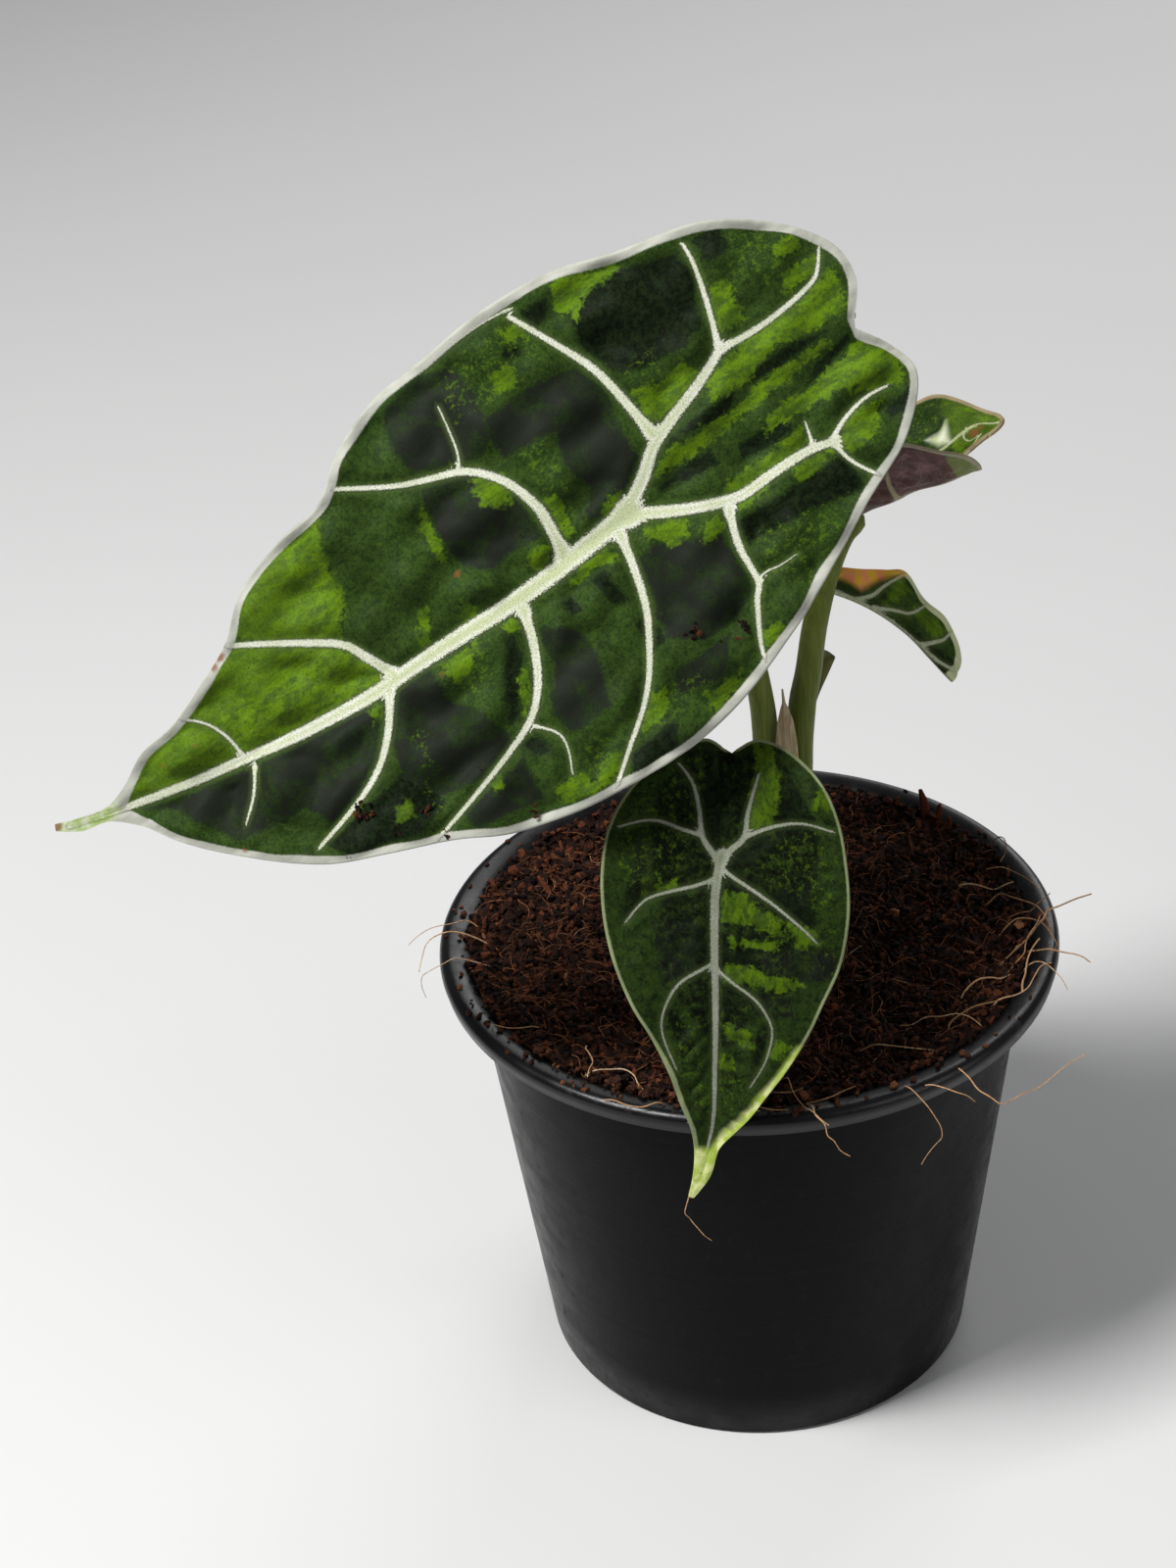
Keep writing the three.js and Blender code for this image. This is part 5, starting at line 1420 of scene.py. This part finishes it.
# Coir crumbs that fell on the big blade: flat place and size
BIG_CRUMBS = [
    (2, 26, 3.2), (0.6, 25, 2.0), (3.6, 27.4, 1.8), (-8, 30, 2.6), (-6, 32, 1.8), (-3, 31, 1.4),
    (74.5, 20.5, 2.6), (75.8, 22, 2.0), (73.4, 22.2, 1.6), (64, 28, 2.4), (66.2, 28.6, 2.8),
    (68.4, 28.2, 2.6), (70.4, 27.8, 2.0), (67.4, 30.2, 2.2), (65, 30.4, 1.6), (71.6, 29.2, 1.4),
    (46, 39, 2.2), (39, 32, 1.2), (44.5, 30, 1.2), (46.5, 34.5, 1.0), (63, 33.6, 1.6), (81.5, 27.2, 1.6),
    (74, 28, 1.2), (17.5, -9.5, 0.7), (19.5, -8.5, 0.7), (18.5, -5.5, 0.8), (6, -4, 0.6), (4, -3.5, 0.6),
    (25.3, -4.7, 0.9), (21, -3.3, 0.9), (42.5, -0.2, 0.7), (22.5, -15.2, 0.7), (46.5, -24, 0.7),
    (13, -13, 0.6), (-28, -5.5, 0.7), (-6.5, -43, 0.7), (22.5, 13, 0.7), (17.5, 18, 0.6), (29, 36.3, 0.8),
    (33, 39.2, 0.8), (35, 24.5, 0.8), (50.5, 26, 0.8), (53.5, 25, 0.7), (65, 23.8, 0.8), (52, 20.5, 0.7),
    (8, 33, 0.8), (12, 8, 0.6),
]
# Above this size a crumb is a heap; how many lumps are in a heap and in any other crumb
HEAP_ABOVE, HEAP_LUMPS, OTHER_LUMPS = 1.5, 9, 2


def leaf_crumbs(finish):
    """Crumbs of a few lumps each, lying on the blade."""
    draw = np.random.default_rng(91)
    bm = bmesh.new()
    tint = bm.verts.layers.float.new("tint")
    for a, b, size in BIG_CRUMBS:
        (spot,), (normal,) = off_leaf_normal(BIG_LEAF, np.array([float(a)]), np.array([float(b)]), 0.1)
        verts = []
        for _ in range(HEAP_LUMPS if size > HEAP_ABOVE else OTHER_LUMPS):
            lump = bmesh.ops.create_icosphere(bm, subdivisions=1, radius=0.5 * MM)["verts"]
            stretch = size * draw.uniform(0.22, 0.6, 3) * (1, 0.7, 0.6)
            offset = Vector(draw.normal(0, 0.28, 3) * size * (1.3, 0.9, 0.15)) * MM
            shade = draw.beta(0.8, 3.0)
            for vert in lump:
                vert.co = Vector([c * s * draw.uniform(0.7, 1.3) for c, s in zip(vert.co, stretch)]) + offset
                vert[tint] = shade
            verts += lump
        turn = Vector(normal).to_track_quat("Z", "X").to_matrix().to_4x4()
        place = Matrix.Translation(Vector(spot + normal * (0.3 + 0.12 * size)) * MM)
        spin = Matrix.Rotation(draw.uniform(0, math.pi), 4, "Z")
        bmesh.ops.transform(bm, matrix=place @ turn @ spin, verts=verts)
    add_piece("leaf_crumbs", as_mesh(bm, "leaf_crumbs"), [finish], smooth=False)


# Assembly
photo_camera()
studio()
nursery_pot()
mix_bed()
loose_coir = coir_finish("loose_coir")
strand_finish = coir_finish("coir_strand", (0.09, 0.032, 0.014), (0.33, 0.14, 0.06), (0.52, 0.36, 0.22), 0.8)
scattered("coir_crumbs", 4600, 5, mix_spot, crumb, loose_coir)
scattered("husk_chips", 3600, 6, mix_spot, chip, loose_coir)
spilt_coir = coir_finish("spilt_coir", (0.035, 0.014, 0.008), (0.14, 0.05, 0.022))
scattered("rim_crumbs", 170, 8, rim_spot, crumb, spilt_coir)
threads("coir_fibres", mix_fibres(800, 9), strand_finish)
straw = coir_finish("dry_straw", (0.16, 0.07, 0.03), (0.50, 0.29, 0.15), (0.66, 0.50, 0.33), 0.8)
threads("rim_straws", kinked(RIM_STRAWS, 14), straw, sides=2)
splinters()

crown_tissue = stem_finish("crown_tissue", (0.07, 0.06, 0.02), (0.16, 0.15, 0.05), (0.05, 0.03, 0.015), 0.6)
petiole_tissue = stem_finish("petiole_tissue", (0.105, 0.140, 0.018), (0.15, 0.185, 0.030),
                             (0.20, 0.24, 0.07))
old_tissue = stem_finish("old_petiole_tissue", (0.085, 0.085, 0.022), (0.14, 0.14, 0.04),
                         (0.10, 0.06, 0.025), 0.55)
ribs = rib_finish()
crown_piece(crown_tissue)
clasping_base("big_leaf_sheath", BIG_FOOT, 3.1, (-0.6, -0.4), crown_tissue, 31)
clasping_base("small_leaf_sheath", SMALL_FOOT, 2.3, (0, -0.6), crown_tissue, 32)
clasping_base("curled_leaf_sheath", CURLED_FOOT, 3.2, (0.6, 0.4), crown_tissue, 33)
leaf_stem("big_leaf_stalk", BIG_LEAF, BIG_FOOT,
          [(5.4, 4.6, 140), (5.6, 5, 155), (4.4, 4.2, 168), (0, 2, 186), (-12, -3, 207)],
          [[0, 3.1], [0.35, 2.75], [1, 2.2]], 14, petiole_tissue, "big_leaf_petiole", 51)
leaf_stem("small_leaf_stalk", SMALL_LEAF, SMALL_FOOT, [(7.5, -8, 128), (2, -20, 145), (-4, -34, 156)],
          [[0, 2.2], [1, 1.5]], 9, petiole_tissue, "small_leaf_petiole", 52)
leaf_stem("curled_leaf_stalk", CURLED_LEAF, CURLED_FOOT,
          [(13, 8, 140), (14, 7.6, 160.5), (15.4, 8, 168), (17.7, 9.5, 182), (21, 12.6, 191.5),
           (24.8, 16.4, 197.2)],
          [[0, 3.2], [0.5, 3], [0.8, 2.6], [1, 1.8]], 2, petiole_tissue, "curled_leaf_petiole", 53)
droop_widths, stub_widths = [[0, 2.1], [0.6, 1.8], [1, 1.3]], [[0, 2.5], [1, 2.2]]
stem_piece("drooping_leaf_stalk",
           [(6.6, 11.3, PETIOLE_FOOT), (6.6, 11.4, 118), (6, 12.4, 140), (5.6, 13.4, 155), (5.2, 15, 163),
            (6, 18, 170), (9, 21, 177.5), (12.6, 23.4, 183), (16.8, 25.8, 185.7), (19.9, 23.4, 184.2)],
           droop_widths, droop_widths, (24, 90), 0.02, 54,
           petiole_tissue, ["drooping_leaf_petiole"])
stem_piece("cut_stub",
           [(14, 14.2, PETIOLE_FOOT), (13.6, 14, 138), (13.8, 13.7, 150), (16, 13.7, 160), (20, 14, 169.5)],
           stub_widths, stub_widths, (24, 60), 0.03, 55, old_tissue, ["cut_petiole_stub"])
stem_piece("papery_sheath",
           [(10.6, 0.6, PETIOLE_FOOT), (10.2, 1, 140), (9.9, 1.4, 156), (9.6, 1.8, 164), (9.3, 2, 168.4)],
           [[0, 2.4], [0.77, 2.4], [0.86, 1.7], [0.92, 0.8], [0.94, 0.36], [1, 0.2]],
           [[0, 0.8], [0.77, 0.6], [0.94, 0.36], [1, 0.2]],
           (24, 90), 0.05, 56, paper_finish(), ["cataphyll"])

under = leaf_underside("leaf_underside")
big_top = leaf_top("big_leaf_top")
# Brightness scales: the small leaf's colours are darkened to 0.55 and its lime to 0.66; the curled leaf's are
# darkened to 0.75 as painted shade; the drooping leaf's are brightened to 1.25 as painted light, and its pale
# veins, margin and orange tip are partly painted light too.
small_top = leaf_top("small_leaf_top", (0.30, 0.315, 0.25), (0.15, 0.18, 0.10), (0.22, 0.26, 0.13),
                     0.55, 0.9, (0.66, 0.70, 0.30), (0.36, 0.48, 0.07), mottle=0.9, lively=0.66)
curled_top = leaf_top("curled_leaf_top", (0.42, 0.45, 0.24), (0.24, 0.28, 0.09), (0.28, 0.22, 0.12),
                      0.75, 0.7, (0.72, 0.74, 0.62), (0.50, 0.56, 0.32))
droop_top = leaf_top("drooping_leaf_top", (0.56, 0.60, 0.42), (0.32, 0.38, 0.18), (0.64, 0.70, 0.40),
                     1.25, 0.9, (0.72, 0.42, 0.03), (0.78, 0.28, 0.13))
curled_under = leaf_underside("curled_leaf_underside", (0.050, 0.018, 0.017), (0.105, 0.042, 0.038),
                              tip=(0.16, 0.20, 0.05))
leaf_blade("big_leaf", BIG_LEAF, 300, 156, BIG_VEINS, BIG_PATCHES,
           [big_top, under], "big_leaf_blade", rust=BIG_RUST)
leaf_blade("small_leaf", SMALL_LEAF, 210, 120, SMALL_VEINS, SMALL_PATCHES,
           [small_top, under], "small_leaf_blade")
leaf_blade("curled_leaf", CURLED_LEAF, 180, 96, CURLED_VEINS, CURLED_PATCHES,
           [curled_top, curled_under], "curled_leaf_blade", rust=CURLED_RUST)
leaf_blade("drooping_leaf", DROOPING_LEAF, 120, 80, DROOPING_VEINS, DROOPING_PATCHES,
           [droop_top, under], "drooping_leaf_blade")
leaf_ribs("big_leaf_ribs", BIG_LEAF, BIG_VEINS, ribs, 0.86)
leaf_ribs("small_leaf_ribs", SMALL_LEAF, SMALL_VEINS, ribs, 0.5)
leaf_crumbs(loose_coir)
